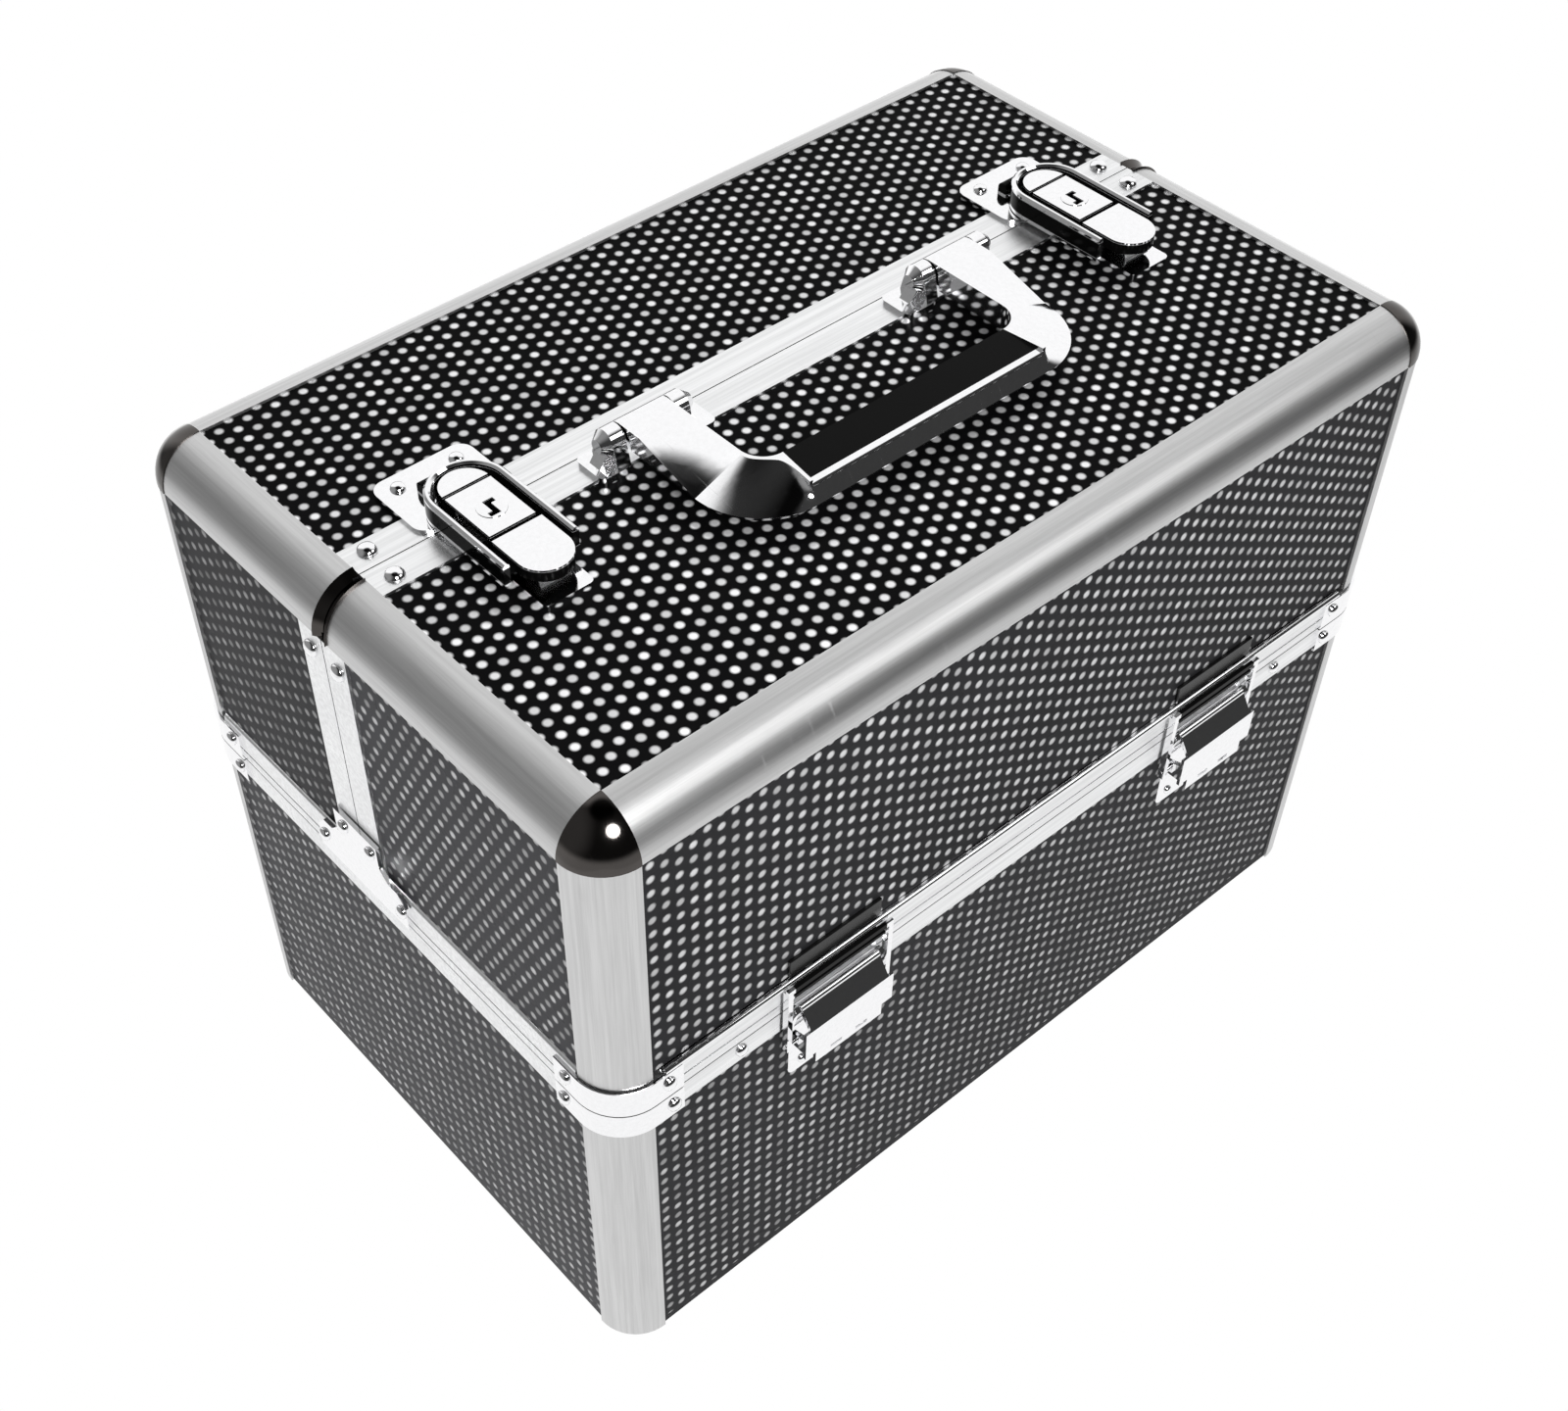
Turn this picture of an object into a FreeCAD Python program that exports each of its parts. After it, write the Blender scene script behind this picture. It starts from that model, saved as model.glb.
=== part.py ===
"""Makeup train case: lower box, tilting deck, two swinging lid halves with cantilever trays."""
import FreeCAD
import Part
import math
import os

V = FreeCAD.Vector

# Overall size of the case, measured over the trim (mm).
LENGTH = 360.0
DEPTH = 230.0
HEIGHT = 266.0
FOOT_H = 3.0
Y_SHIFT = 1.6

# Quarter-round edge extrusion and the panels held in its slots.
TRIM = 16.0
LIP = 1.0
PANEL = 5.0
GRIP = 2.0
CORE = LIP + PANEL + LIP
BALL_PROUD = 0.3

# Levels of the seam between lower box and deck, and of the lids.
RIM_LOW = 129.0
RIM_TOP = 138.2
DECK_LOW = 138.7
DECK_TOP = 150.2
LID_LOW = 153.2
LID_POST_LOW = 151.2
DECK_FLOOR_LOW = 140.5
DECK_FLOOR_TOP = 144.0

# Split between the front and rear lid halves.
SPLIT_Y = 12.0
SPLIT_GAP = 0.4
STRIP_W = 12.0
CAP_T = 3.0
CAP_PROUD = 0.8
CAP_BEVEL = 2.0

# Long hinges of the lids, on the outer faces of the deck rim.
LID_AXIS_Z = 151.6
LID_BARREL_R = 1.3
LID_PIN_R = 0.6
LID_BORE_R = 0.66
LID_HINGE_HALF = 160.0

# Butt hinges between lower box and deck.
TILT_Y = 117.6
TILT_Z = 138.45
TILT_BARREL_R = 2.4
TILT_PIN_R = 1.2
TILT_X = 110.0
TILT_HALF = 21.0

# Cantilever trays: link angle from vertical, link lengths and pivot sizes.
LINK_ANGLE = math.radians(40.0)
LINK_UPPER = 80.0
LINK_LOWER = 38.0
FRONT_ARM_STEP = 55.0
REAR_ARM_STEP = 40.0
TRAY_HALF = 158.0
TRAY_H = 25.0
TRAY_WALL = 2.0
TRAY_PIVOT_UP = 5.0
TRAY_SPLIT_GAP = 3.0
TRAY_OUT_UPPER = 37.0
TRAY_OUT_LOWER = 16.0
DIVIDER_X = 53.0
STUD_R = 2.44
STUD_BORE_R = 2.5
ARM_IN = 163.2
ARM_OUT = 165.2
ARM_W = 12.0
UPRIGHT_IN = 167.0
UPRIGHT_OUT = 169.0
BOSS_IN = 168.5
BOSS_R = 5.0
LID_STUD_END = 172.5
ARM_STUD_END = 165.8

# Seam brackets, floor board and feet of the lower box.
BRACKET_T = 1.0
BRACKET_LEG = 27.0
BRACKET_LOW = 127.5
FLOOR_LOW = 0.5
FLOOR_TOP = 4.5
PAD_TOP = 6.0
PAD_CORNER_R = 3.0
FOOT_R = 7.0
FOOT_ROOT_R = 8.5
FOOT_X = 150.0
FOOT_Y = 86.0

# Deck ring, its end beads and the T plates over the split.
DECK_RING_W = 8.0
GROOVE_LOW = 142.6
GROOVE_HIGH = 143.3
GROOVE_DEPTH = 0.6
BEAD_R = 1.25
BEAD_FOOT = 3.0
BEAD_HALF = 98.0
TEE_ARM = 25.0
TEE_BEVEL = 4.0
TEE_LOW = 140.0
TEE_SHOULDER = 155.0
TEE_TOP = 168.5
TEE_PROUD = 1.8
TEE_GAP = 0.3

# Leaves and gaps of the hinges.
KNUCKLE_GAP = 0.15
TILT_LEAF_T = 1.2
TILT_LEAF_LOW = 118.0
LID_LEAF_T = 0.7
LID_LEAF_W = 7.5

# Carrying handle on the front half of the top.
HANDLE_Y = 4.0
HANDLE_Z = HEIGHT + 8.5
HANDLE_LOW = HEIGHT + 4.2
HANDLE_MID = HEIGHT + 6.2
HANDLE_TOP = HEIGHT + 13.2
HANDLE_HALF = 74.5
HANDLE_FRONT = -57.5
HANDLE_BEND = 26.0
HANDLE_LAND = 1.2
HANDLE_WINDOW_R = 9.0
BRACKET_FOOT_IN = 14.5
BRACKET_FOOT_OUT = 12.0
BRACKET_FOOT_HALF = 7.0
HANDLE_FLAT_Y = -6.0
HANDLE_UNDERCUT = 1.5
HANDLE_INNER_X = 55.5
HANDLE_INNER_Y = -38.7
HANDLE_KNUCKLE_R = 4.6
HANDLE_PIN_R = 2.0
HANDLE_BORE_R = 2.06
GRIP_RIDGE_Y = -54.0
GRIP_RIDGE_DROP = 1.4
GRIP_INNER_HALF = 46.5
GRIP_RIDGE_HALF = 48.5
GRIP_T = 3.0
BRACKET_FOOT_T = 1.6
BRACKET_LUG_T = 5.0

# Hasp locks bridging the split.
LOCK_X = 123.6
LOCK_PLATE_HALF = 17.7
LOCK_PLATE_FRONT = 13.0
LOCK_PLATE_REAR = 41.0
LOCK_PLATE_T = 1.2
LOCK_PIN_Y = 28.0
LOCK_PIN_Z = HEIGHT + 3.6
LOCK_PIN_R = 1.0
LOCK_KNUCKLE_R = 1.9
LOCK_KNUCKLE_HALF = 4.5
LOCK_LUG_HALF = 7.2
KEEPER_FRONT = -35.0
KEEPER_REAR = -18.0
KEEPER_T = 0.6
KEEPER_H = 4.1
KEEPER_LEAN = 1.5
STAND_FRONT = -28.5
STAND_REAR = -20.0
STAND_HALF = 5.5
LOCK_TOP = HEIGHT + 9.2
LOCK_BLOCK_HALF = 8.25
LOCK_BLOCK_FRONT = -8.5
LOCK_BLOCK_REAR = 22.5
LOCK_GROOVE_Y = 13.2
LOCK_GROOVE_W = 1.4
LOCK_GROOVE_DEPTH = 3.0
HOOP_HALF = 13.5
HOOP_WALL = 2.2
HOOP_BEVEL = 0.7
HOOP_FRONT = -22.0
HOOP_REAR = 26.0
HOOP_LOW = HEIGHT + 1.6
HOOP_TOP = HEIGHT + 10.0
TONGUE_HALF = 9.0
TONGUE_FRONT = -32.0
TONGUE_REAR = -10.5
PLUG_Y = 1.5
PLUG_R = 4.7
KEYWAY_W = 1.9
KEYWAY_H = 7.0
KEYWAY_REACH = 2.7
KEYWAY_DEPTH = 4.0

# Draw latches on the front.
TOGGLE_X = 90.0
FLANGE_IN = 17.0
SLOT_IN = 3.0
SLOT_OUT = 8.0
SLOT_H = 1.4
CLAW_BAR_Z = 146.2
CATCH_LOW = 142.0
TOGGLE_HALF = 19.0
TOGGLE_LOW = 101.0
TOGGLE_BASE_T = 1.2
LEVER_Y = -117.2
LEVER_Z = 138.0
LEVER_ROLL_R = 1.5
LEVER_PIN_R = 0.8
LEVER_HALF = 16.8
LEVER_FACE_Y = -123.2
LEVER_T = 1.2
LEVER_BEND_Z = 131.2
LEVER_END_Z = 112.6
LEVER_STEP_Z = 118.4
LEVER_TAIL_HALF = 14.5
CLAW_Y = -116.9
CLAW_Z = 122.0
CLAW_STUD_R = 1.0
CLAW_FRONT_Y = -118.1
CLAW_TOP = 151.3
CLAW_IN = 20.4
CLAW_OUT = 22.4
CATCH_T = 0.6
EAR_IN = 17.2
TOGGLE_PLAY = 0.06

HX = LENGTH / 2.0
HY = DEPTH / 2.0
TRIM_IN_X = HX - TRIM
TRIM_IN_Y = HY - TRIM
SLOT_X = HX - TRIM + GRIP
SLOT_Y = HY - TRIM + GRIP
SIDES = ((-1, "left"), (1, "right"))


def box(x0, x1, y0, y1, z0, z1):
    """Block between two corners, given in any order."""
    lo = V(min(x0, x1), min(y0, y1), min(z0, z1))
    return Part.makeBox(abs(x1 - x0), abs(y1 - y0), abs(z1 - z0), lo)


def at(axis, u, v, w):
    """Point with w along the named axis and u, v along the other two."""
    if axis == "x":
        return V(w, u, v)
    if axis == "y":
        return V(u, w, v)
    return V(u, v, w)


def prism(axis, points, a, b):
    """Polygon in the plane across the axis, drawn out from a to b."""
    ring = [at(axis, u, v, a) for u, v in points]
    ring.append(ring[0])
    face = Part.Face(Part.makePolygon(ring))
    return face.extrude(at(axis, 0, 0, b) - at(axis, 0, 0, a))


def rod(axis, u, v, a, b, r):
    """Round bar along an axis."""
    lo = min(a, b)
    return Part.makeCylinder(r, abs(b - a), at(axis, u, v, lo), at(axis, 0, 0, 1))


def flip_x(shape):
    """Mirror image left to right."""
    return shape.mirror(V(0, 0, 0), V(1, 0, 0))


def flip_y(shape):
    """Mirror image front to rear."""
    return shape.mirror(V(0, 0, 0), V(0, 1, 0))


def moved(shape, x, y, z):
    """Copy of a shape, shifted."""
    other = shape.copy()
    other.translate(V(x, y, z))
    return other


def joined(pieces):
    """One solid from touching pieces."""
    whole = pieces[0].fuse(pieces[1:])
    return whole.removeSplitter()


def group(pieces):
    """Several solids kept as one node."""
    return Part.makeCompound(pieces)


def rounded_plan(x0, x1, y0, y1, r, z):
    """Wire of a rounded rectangle at height z."""
    c = r * (1.0 - math.sqrt(0.5))
    edges = []
    edges.append(Part.LineSegment(V(x0 + r, y0, z), V(x1 - r, y0, z)).toShape())
    edges.append(Part.Arc(V(x1 - r, y0, z), V(x1 - c, y0 + c, z), V(x1, y0 + r, z)).toShape())
    edges.append(Part.LineSegment(V(x1, y0 + r, z), V(x1, y1 - r, z)).toShape())
    edges.append(Part.Arc(V(x1, y1 - r, z), V(x1 - c, y1 - c, z), V(x1 - r, y1, z)).toShape())
    edges.append(Part.LineSegment(V(x1 - r, y1, z), V(x0 + r, y1, z)).toShape())
    edges.append(Part.Arc(V(x0 + r, y1, z), V(x0 + c, y1 - c, z), V(x0, y1 - r, z)).toShape())
    edges.append(Part.LineSegment(V(x0, y1 - r, z), V(x0, y0 + r, z)).toShape())
    edges.append(Part.Arc(V(x0, y0 + r, z), V(x0 + c, y0 + c, z), V(x0 + r, y0, z)).toShape())
    return Part.Wire(edges)


def plate(x0, x1, y0, y1, r, z0, z1):
    """Flat plate with rounded corners in plan."""
    face = Part.Face(rounded_plan(x0, x1, y0, y1, r, z0))
    return face.extrude(V(0, 0, z1 - z0))


def trim_bar(place, a, b):
    """Slotted quarter-round extrusion from a to b; place maps (u, v, w) to a point.

    u and v are measured inwards from the two outer faces of the edge.
    """
    t, c, g = TRIM, CORE, TRIM - GRIP
    p = LIP + PANEL
    m = t * (1.0 - math.sqrt(0.5))
    ring = [(t, 0), (t, LIP), (g, LIP), (g, p), (t, p), (t, c), (c, c), (c, t)]
    ring += [(p, t), (p, g), (LIP, g), (LIP, t), (0, t)]
    pts = [place(u, v, a) for u, v in ring]
    edges = []
    for first, second in zip(pts, pts[1:]):
        edges.append(Part.LineSegment(first, second).toShape())
    edges.append(Part.Arc(pts[-1], place(m, m, a), pts[0]).toShape())
    face = Part.Face(Part.Wire(edges))
    return face.extrude(place(0, 0, b) - place(0, 0, a))


def post_at(sx, sy, z0, z1):
    """Upright corner extrusion at one of the four corners."""
    return trim_bar(lambda u, v, w: V(sx * (HX - u), sy * (HY - v), w), z0, z1)


def long_edge(sy):
    """Extrusion along the front or rear top edge."""
    end = TRIM_IN_X
    return trim_bar(lambda u, v, w: V(w, sy * (HY - u), HEIGHT - v), -end, end)


def end_edge(sx, y0, y1):
    """Extrusion along the left or right top edge."""
    return trim_bar(lambda u, v, w: V(sx * (HX - u), w, HEIGHT - v), y0, y1)


def ball_corner(sx, sy):
    """Domed three-way corner casting that butts against the ends of three extrusions."""
    r = TRIM + BALL_PROUD
    c = V(-TRIM_IN_X, -TRIM_IN_Y, HEIGHT - TRIM)
    octant = box(c.x - r, c.x, c.y - r, c.y, c.z, c.z + r)
    dome = Part.makeSphere(r, c).common(octant)
    core = TRIM - CORE
    inside = box(c.x - core, c.x, c.y - core, c.y, c.z, c.z + core)
    near, far = CORE - LIP, LIP
    span = TRIM - GRIP
    x, y, z = -HX, -HY, HEIGHT
    top_slot = box(x + span, c.x, y + span, c.y, z - near, z - far)
    front_slot = box(x + span, c.x, y + far, y + near, c.z, z - span)
    end_slot = box(x + far, x + near, y + span, c.y, c.z, z - span)
    casting = dome.cut([inside, top_slot, front_slot, end_slot])
    if sx > 0:
        casting = flip_x(casting)
    if sy > 0:
        casting = flip_y(casting)
    return casting


def corner_bracket(sx, sy, z0, z1):
    """Bent plate that wraps a corner at the seam."""
    t, leg = BRACKET_T, BRACKET_LEG
    outer = plate(-HX - t, 0, -HY - t, 0, TRIM + t, z0, z1)
    inner = plate(-HX, 20, -HY, 20, TRIM, z0 - 1, z1 + 1)
    shell = outer.cut(inner).common(box(-HX - 2, -HX + leg, -HY - 2, -HY + leg, z0, z1))
    if sx > 0:
        shell = flip_x(shell)
    if sy > 0:
        shell = flip_y(shell)
    return shell


CORNERS = ((-1, -1), (1, -1), (-1, 1), (1, 1))
nodes = {}


def lower_box():
    """Walls, floor, posts, rim and feet of the fixed lower box."""
    top = RIM_TOP - 1.6
    front = box(-SLOT_X, SLOT_X, -HY + LIP, -HY + LIP + PANEL, 0, top)
    nodes["lower_front_panel"] = front
    nodes["lower_rear_panel"] = flip_y(front)
    left = box(-HX + LIP, -HX + LIP + PANEL, -SLOT_Y, SLOT_Y, 0, top)
    nodes["lower_left_panel"] = left
    nodes["lower_right_panel"] = flip_x(left)
    posts = [post_at(sx, sy, 0, RIM_TOP) for sx, sy in CORNERS]
    nodes["lower_posts"] = group(posts)
    inset = LIP + PANEL
    floor = box(-HX + inset, HX - inset, -HY + inset, HY - inset, FLOOR_LOW, FLOOR_TOP)
    nodes["bottom_panel"] = floor.cut(posts)
    pad_x, pad_y = HX - CORE - 1.0, HY - CORE - 1.0
    nodes["floor_pad"] = plate(-pad_x, pad_x, -pad_y, pad_y, PAD_CORNER_R, FLOOR_TOP, PAD_TOP)
    rim_profile = [(-HY, RIM_LOW), (-HY + LIP, RIM_LOW), (-HY + LIP, top), (-HY + LIP + PANEL, top)]
    rim_profile += [(-HY + LIP + PANEL, RIM_LOW + 2), (-HY + CORE, RIM_LOW + 2)]
    rim_profile += [(-HY + CORE, RIM_TOP), (-HY, RIM_TOP)]
    rim_front = prism("x", rim_profile, -TRIM_IN_X, TRIM_IN_X)
    end_profile = [(u + HY - HX, v) for u, v in rim_profile]
    rim_left = prism("y", end_profile, -TRIM_IN_Y, TRIM_IN_Y)
    nodes["lower_rim"] = group([rim_front, flip_y(rim_front), rim_left, flip_x(rim_left)])
    nodes["lower_brackets"] = group([corner_bracket(sx, sy, BRACKET_LOW, RIM_TOP) for sx, sy in CORNERS])
    feet = []
    for sx, sy in CORNERS:
        place = V(sx * FOOT_X, sy * FOOT_Y, -FOOT_H)
        feet.append(Part.makeCone(FOOT_R, FOOT_ROOT_R, FOOT_H + FLOOR_LOW, place, V(0, 0, 1)))
    nodes["feet"] = group(feet)


def butt_hinges():
    """Rear butt hinges: lower leaves with outer knuckles and pins, upper leaves with one knuckle."""
    lower = []
    upper = []
    third = TILT_HALF / 3.0
    for sx in (-1, 1):
        x = sx * TILT_X
        leaf = box(x - TILT_HALF, x + TILT_HALF, HY, HY + TILT_LEAF_T, TILT_LEAF_LOW, TILT_Z - 0.4)
        opening = third + 2 * KNUCKLE_GAP
        notch = box(x - opening, x + opening, HY - 1, HY + 5, TILT_Z - 3.2, TILT_Z + 4)
        pieces = [leaf.cut(notch)]
        for a, b in ((-TILT_HALF, -third - KNUCKLE_GAP), (third + KNUCKLE_GAP, TILT_HALF)):
            pieces.append(rod("x", TILT_Y, TILT_Z, x + a, x + b, TILT_BARREL_R))
            pieces.append(box(x + a, x + b, HY, TILT_Y, TILT_Z - TILT_BARREL_R, TILT_Z - 0.4))
        pieces.append(rod("x", TILT_Y, TILT_Z, x - TILT_HALF - 1.0, x + TILT_HALF + 1.0, TILT_PIN_R))
        lower.append(joined(pieces))
        flap = box(x - TILT_HALF, x + TILT_HALF, HY, HY + TILT_LEAF_T, TILT_Z + 2.7, DECK_TOP)
        neck = box(x - third + KNUCKLE_GAP, x + third - KNUCKLE_GAP, HY, TILT_Y, TILT_Z + 0.5, TILT_Z + 3.2)
        knuckle = rod("x", TILT_Y, TILT_Z, x - third + KNUCKLE_GAP, x + third - KNUCKLE_GAP, TILT_BARREL_R)
        bore = rod("x", TILT_Y, TILT_Z, x - 30, x + 30, TILT_PIN_R + 0.05)
        upper.append(joined([flap, neck, knuckle]).cut(bore))
    nodes["rear_hinge_lower"] = group(lower)
    nodes["rear_hinge_upper"] = group(upper)


def deck():
    """Tilting deck: ring frame, floor, corner brackets and end plates."""
    outer = plate(-HX, HX, -HY, HY, TRIM, DECK_LOW, DECK_TOP)
    w = DECK_RING_W
    inner = plate(-HX + w, HX - w, -HY + w, HY - w, TRIM - w, DECK_LOW - 1, DECK_TOP + 1)
    ring = outer.cut(inner)
    groove_out = plate(-HX - 2, HX + 2, -HY - 2, HY + 2, TRIM + 2, GROOVE_LOW, GROOVE_HIGH)
    d = GROOVE_DEPTH
    groove_in = plate(-HX + d, HX - d, -HY + d, HY - d, TRIM - d, GROOVE_LOW - 1, GROOVE_HIGH + 1)
    ring = ring.cut(groove_out.cut(groove_in))
    r = BEAD_R
    bead = box(-HX, -HX + BEAD_FOOT, -BEAD_HALF, BEAD_HALF, DECK_TOP, DECK_TOP + r)
    crown = rod("y", r - HX, DECK_TOP + r, -BEAD_HALF, BEAD_HALF, r)
    bead = bead.fuse(crown)
    nodes["deck_rim"] = joined([ring, bead, flip_x(bead)])
    nodes["deck_floor"] = plate(-HX + w, HX - w, -HY + w, HY - w, TRIM - w, DECK_FLOOR_LOW, DECK_FLOOR_TOP)
    nodes["deck_brackets"] = group([corner_bracket(sx, sy, DECK_LOW, DECK_TOP) for sx, sy in CORNERS])
    arm, stem, bevel = TEE_ARM, STRIP_W, TEE_BEVEL
    low, shoulder, high = TEE_LOW, TEE_SHOULDER, TEE_TOP
    half = [(arm, low), (arm, shoulder - 4.5), (arm - bevel, shoulder), (stem + bevel, shoulder)]
    half += [(stem, shoulder + bevel), (stem, high)]
    outline = [(SPLIT_Y + u, v) for u, v in half] + [(SPLIT_Y - u, v) for u, v in reversed(half)]
    face = prism("x", outline, -HX - TEE_PROUD, -HX - TEE_GAP)
    back = box(-HX - TEE_GAP, -HX, SPLIT_Y - arm, SPLIT_Y + arm, low, DECK_TOP)
    tee = joined([face, back])
    nodes["arm_plates"] = group([tee, flip_x(tee)])


def lid_hinges():
    """Long hinges: fixed strips with pin on the deck, moving strips under the lid walls."""
    count = 5
    pitch = 2.0 * LID_HINGE_HALF / count
    y, z, r = -HY, LID_AXIS_Z, LID_BARREL_R
    fixed = [box(-LID_HINGE_HALF, LID_HINGE_HALF, y + 1.6, y + LID_LEAF_W, DECK_TOP, DECK_TOP + LID_LEAF_T)]
    moving = [box(-LID_HINGE_HALF, LID_HINGE_HALF, y + 1.6, y + CORE - 1, LID_LOW - 0.8, LID_LOW)]
    fixed.append(rod("x", y, z, -LID_HINGE_HALF, LID_HINGE_HALF, LID_PIN_R))
    for i in range(count):
        a = -LID_HINGE_HALF + i * pitch + KNUCKLE_GAP
        b = a + pitch - 2 * KNUCKLE_GAP
        if i % 2 == 0:
            fixed.append(rod("x", y, z, a, b, r))
            fixed.append(box(a, b, y, y + 2.2, DECK_TOP, DECK_TOP + LID_LEAF_T))
        else:
            moving.append(rod("x", y, z, a, b, r))
            moving.append(box(a, b, y + 0.4, y + 2.2, LID_LOW - 1.2, LID_LOW - 0.3))
    bore = rod("x", y, z, -HX, HX, LID_BORE_R)
    strip = joined(fixed)
    leaf = joined(moving).cut(bore)
    nodes["lid_hinges"] = group([strip, flip_y(strip)])
    nodes["front_hinge_leaf"] = leaf
    nodes["rear_hinge_leaf"] = flip_y(leaf)


def lid_half(name, sy):
    """Panels, extrusions, corner castings and split strips of one lid half."""
    edge = SPLIT_Y + sy * SPLIT_GAP / 2.0
    web = edge + sy * 1.5
    over = edge + sy * (STRIP_W - SPLIT_GAP / 2.0)
    under = edge + sy * 8.0
    wall_y = sy * (HY - LIP)
    wall_in = sy * (HY - LIP - PANEL)
    top_low = HEIGHT - LIP - PANEL
    wall_top = HEIGHT - TRIM + GRIP
    nodes[name + "_lid_top"] = box(-SLOT_X, SLOT_X, web, sy * SLOT_Y, top_low, HEIGHT - LIP)
    nodes[name + "_lid_wall"] = box(-SLOT_X, SLOT_X, wall_y, wall_in, LID_LOW, wall_top)
    side = box(-HX + LIP, -HX + LIP + PANEL, web, sy * SLOT_Y, LID_LOW, wall_top)
    nodes[name + "_lid_ends"] = group([side, flip_x(side)])
    nodes[name + "_edge"] = long_edge(sy)
    stop = edge + sy * CAP_T
    y0, y1 = sorted((stop, sy * TRIM_IN_Y))
    nodes[name + "_end_edges"] = group([end_edge(-1, y0, y1), end_edge(1, y0, y1)])
    z1 = HEIGHT - TRIM
    nodes[name + "_posts"] = group([post_at(sx, sy, LID_POST_LOW, z1) for sx in (-1, 1)])
    castings = [ball_corner(sx, sy) for sx in (-1, 1)]
    cap_r = TRIM + CAP_PROUD
    disc = Part.makeCone(cap_r - CAP_BEVEL, cap_r, CAP_T, V(-TRIM_IN_X, edge, z1), V(0, sy, 0))
    cap = disc.common(box(-TRIM_IN_X - cap_r, -TRIM_IN_X, edge, stop, z1, z1 + cap_r))
    hollow = box(-HX + CORE, 0, edge, stop, 0, HEIGHT - CORE)
    end_slot = box(-HX + LIP, -HX + LIP + PANEL, edge, stop, 0, wall_top)
    top_slot = box(-SLOT_X, 0, edge, stop, top_low, HEIGHT - LIP)
    cap = cap.cut([hollow, end_slot, top_slot])
    castings += [cap, flip_x(cap)]
    nodes[name + "_corner_castings"] = group(castings)
    t = HEIGHT
    top_ring = [(edge, t), (over, t), (over, t - LIP), (web, t - LIP), (web, top_low), (under, top_low)]
    top_ring += [(under, t - CORE), (edge, t - CORE)]
    top_strip = prism("x", top_ring, -TRIM_IN_X, TRIM_IN_X)
    h = -HX
    p = LIP + PANEL
    end_ring = [(h, edge), (h, over), (h + LIP, over), (h + LIP, web), (h + p, web), (h + p, under)]
    end_ring += [(h + CORE, under), (h + CORE, edge)]
    end_strip = prism("z", end_ring, LID_LOW, z1)
    nodes[name + "_split_strips"] = group([top_strip, end_strip, flip_x(end_strip)])


def link_points(sy, length, step):
    """Tray pivot on the lid and the matching pivot on the parallel arm, as (y, z)."""
    y = sy * (HY - length * math.sin(LINK_ANGLE))
    z = LID_AXIS_Z + length * math.cos(LINK_ANGLE)
    return (y, z), (y - sy * step, z)


def tray(sy, length, step, out):
    """Open tray with dividers and pivot studs on both ends."""
    lid_pivot, arm_pivot = link_points(sy, length, step)
    y0, y1 = sorted((lid_pivot[0] + sy * out, SPLIT_Y + sy * TRAY_SPLIT_GAP))
    z0 = lid_pivot[1] - TRAY_PIVOT_UP
    z1 = z0 + TRAY_H
    w = TRAY_WALL
    shell = plate(-TRAY_HALF, TRAY_HALF, y0, y1, 5.0, z0, z1)
    hollow = plate(-TRAY_HALF + w, TRAY_HALF - w, y0 + w, y1 - w, 3.0, z0 + w, z1 + 1)
    pieces = [shell.cut(hollow)]
    for x in (-DIVIDER_X, DIVIDER_X):
        pieces.append(box(x - 0.9, x + 0.9, y0 + w, y1 - w, z0 + w, z1 - 5.0))
    for sx in (-1, 1):
        pieces.append(rod("x", lid_pivot[0], lid_pivot[1], sx * (TRAY_HALF - 1), sx * LID_STUD_END, STUD_R))
        pieces.append(rod("x", arm_pivot[0], arm_pivot[1], sx * (TRAY_HALF - 1), sx * ARM_STUD_END, STUD_R))
    return joined(pieces)


def arm_pair(sy, step):
    """Parallel tray arms at both ends of one half."""
    foot = (sy * (HY - step), LID_AXIS_Z)
    tip = link_points(sy, LINK_UPPER, step)[1]
    mid = link_points(sy, LINK_LOWER, step)[1]
    dy, dz = tip[0] - foot[0], tip[1] - foot[1]
    n = math.hypot(dy, dz)
    py, pz = -dz / n * ARM_W / 2.0, dy / n * ARM_W / 2.0
    ring = [(foot[0] + py, foot[1] + pz), (tip[0] + py, tip[1] + pz)]
    ring += [(tip[0] - py, tip[1] - pz), (foot[0] - py, foot[1] - pz)]
    pieces = [prism("x", ring, -ARM_OUT, -ARM_IN)]
    for y, z in (foot, tip):
        pieces.append(rod("x", y, z, -ARM_OUT, -ARM_IN, ARM_W / 2.0))
    holes = [rod("x", y, z, -ARM_OUT - 1, -ARM_IN + 1, STUD_BORE_R) for y, z in (foot, mid, tip)]
    arm = joined(pieces).cut(holes)
    return group([arm, flip_x(arm)])


def arm_uprights():
    """Brackets on the deck floor that carry the foot pivots of the arms."""
    pieces = []
    for sy, step in ((-1, FRONT_ARM_STEP), (1, REAR_ARM_STEP)):
        y = sy * (HY - step)
        z = LID_AXIS_Z
        ring = [(y - 9, DECK_FLOOR_TOP), (y + 9, DECK_FLOOR_TOP), (y + 5, z + 5), (y - 5, z + 5)]
        wall = prism("x", ring, -UPRIGHT_OUT, -UPRIGHT_IN)
        foot = box(-UPRIGHT_OUT, -UPRIGHT_IN + 1.0, y - 9, y + 9, DECK_FLOOR_TOP, DECK_FLOOR_TOP + 1.2)
        stud = rod("x", y, z, -UPRIGHT_OUT, -ARM_IN + 0.8, STUD_R)
        one = joined([wall, foot, stud])
        pieces += [one, flip_x(one)]
    nodes["arm_uprights"] = group(pieces)


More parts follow.
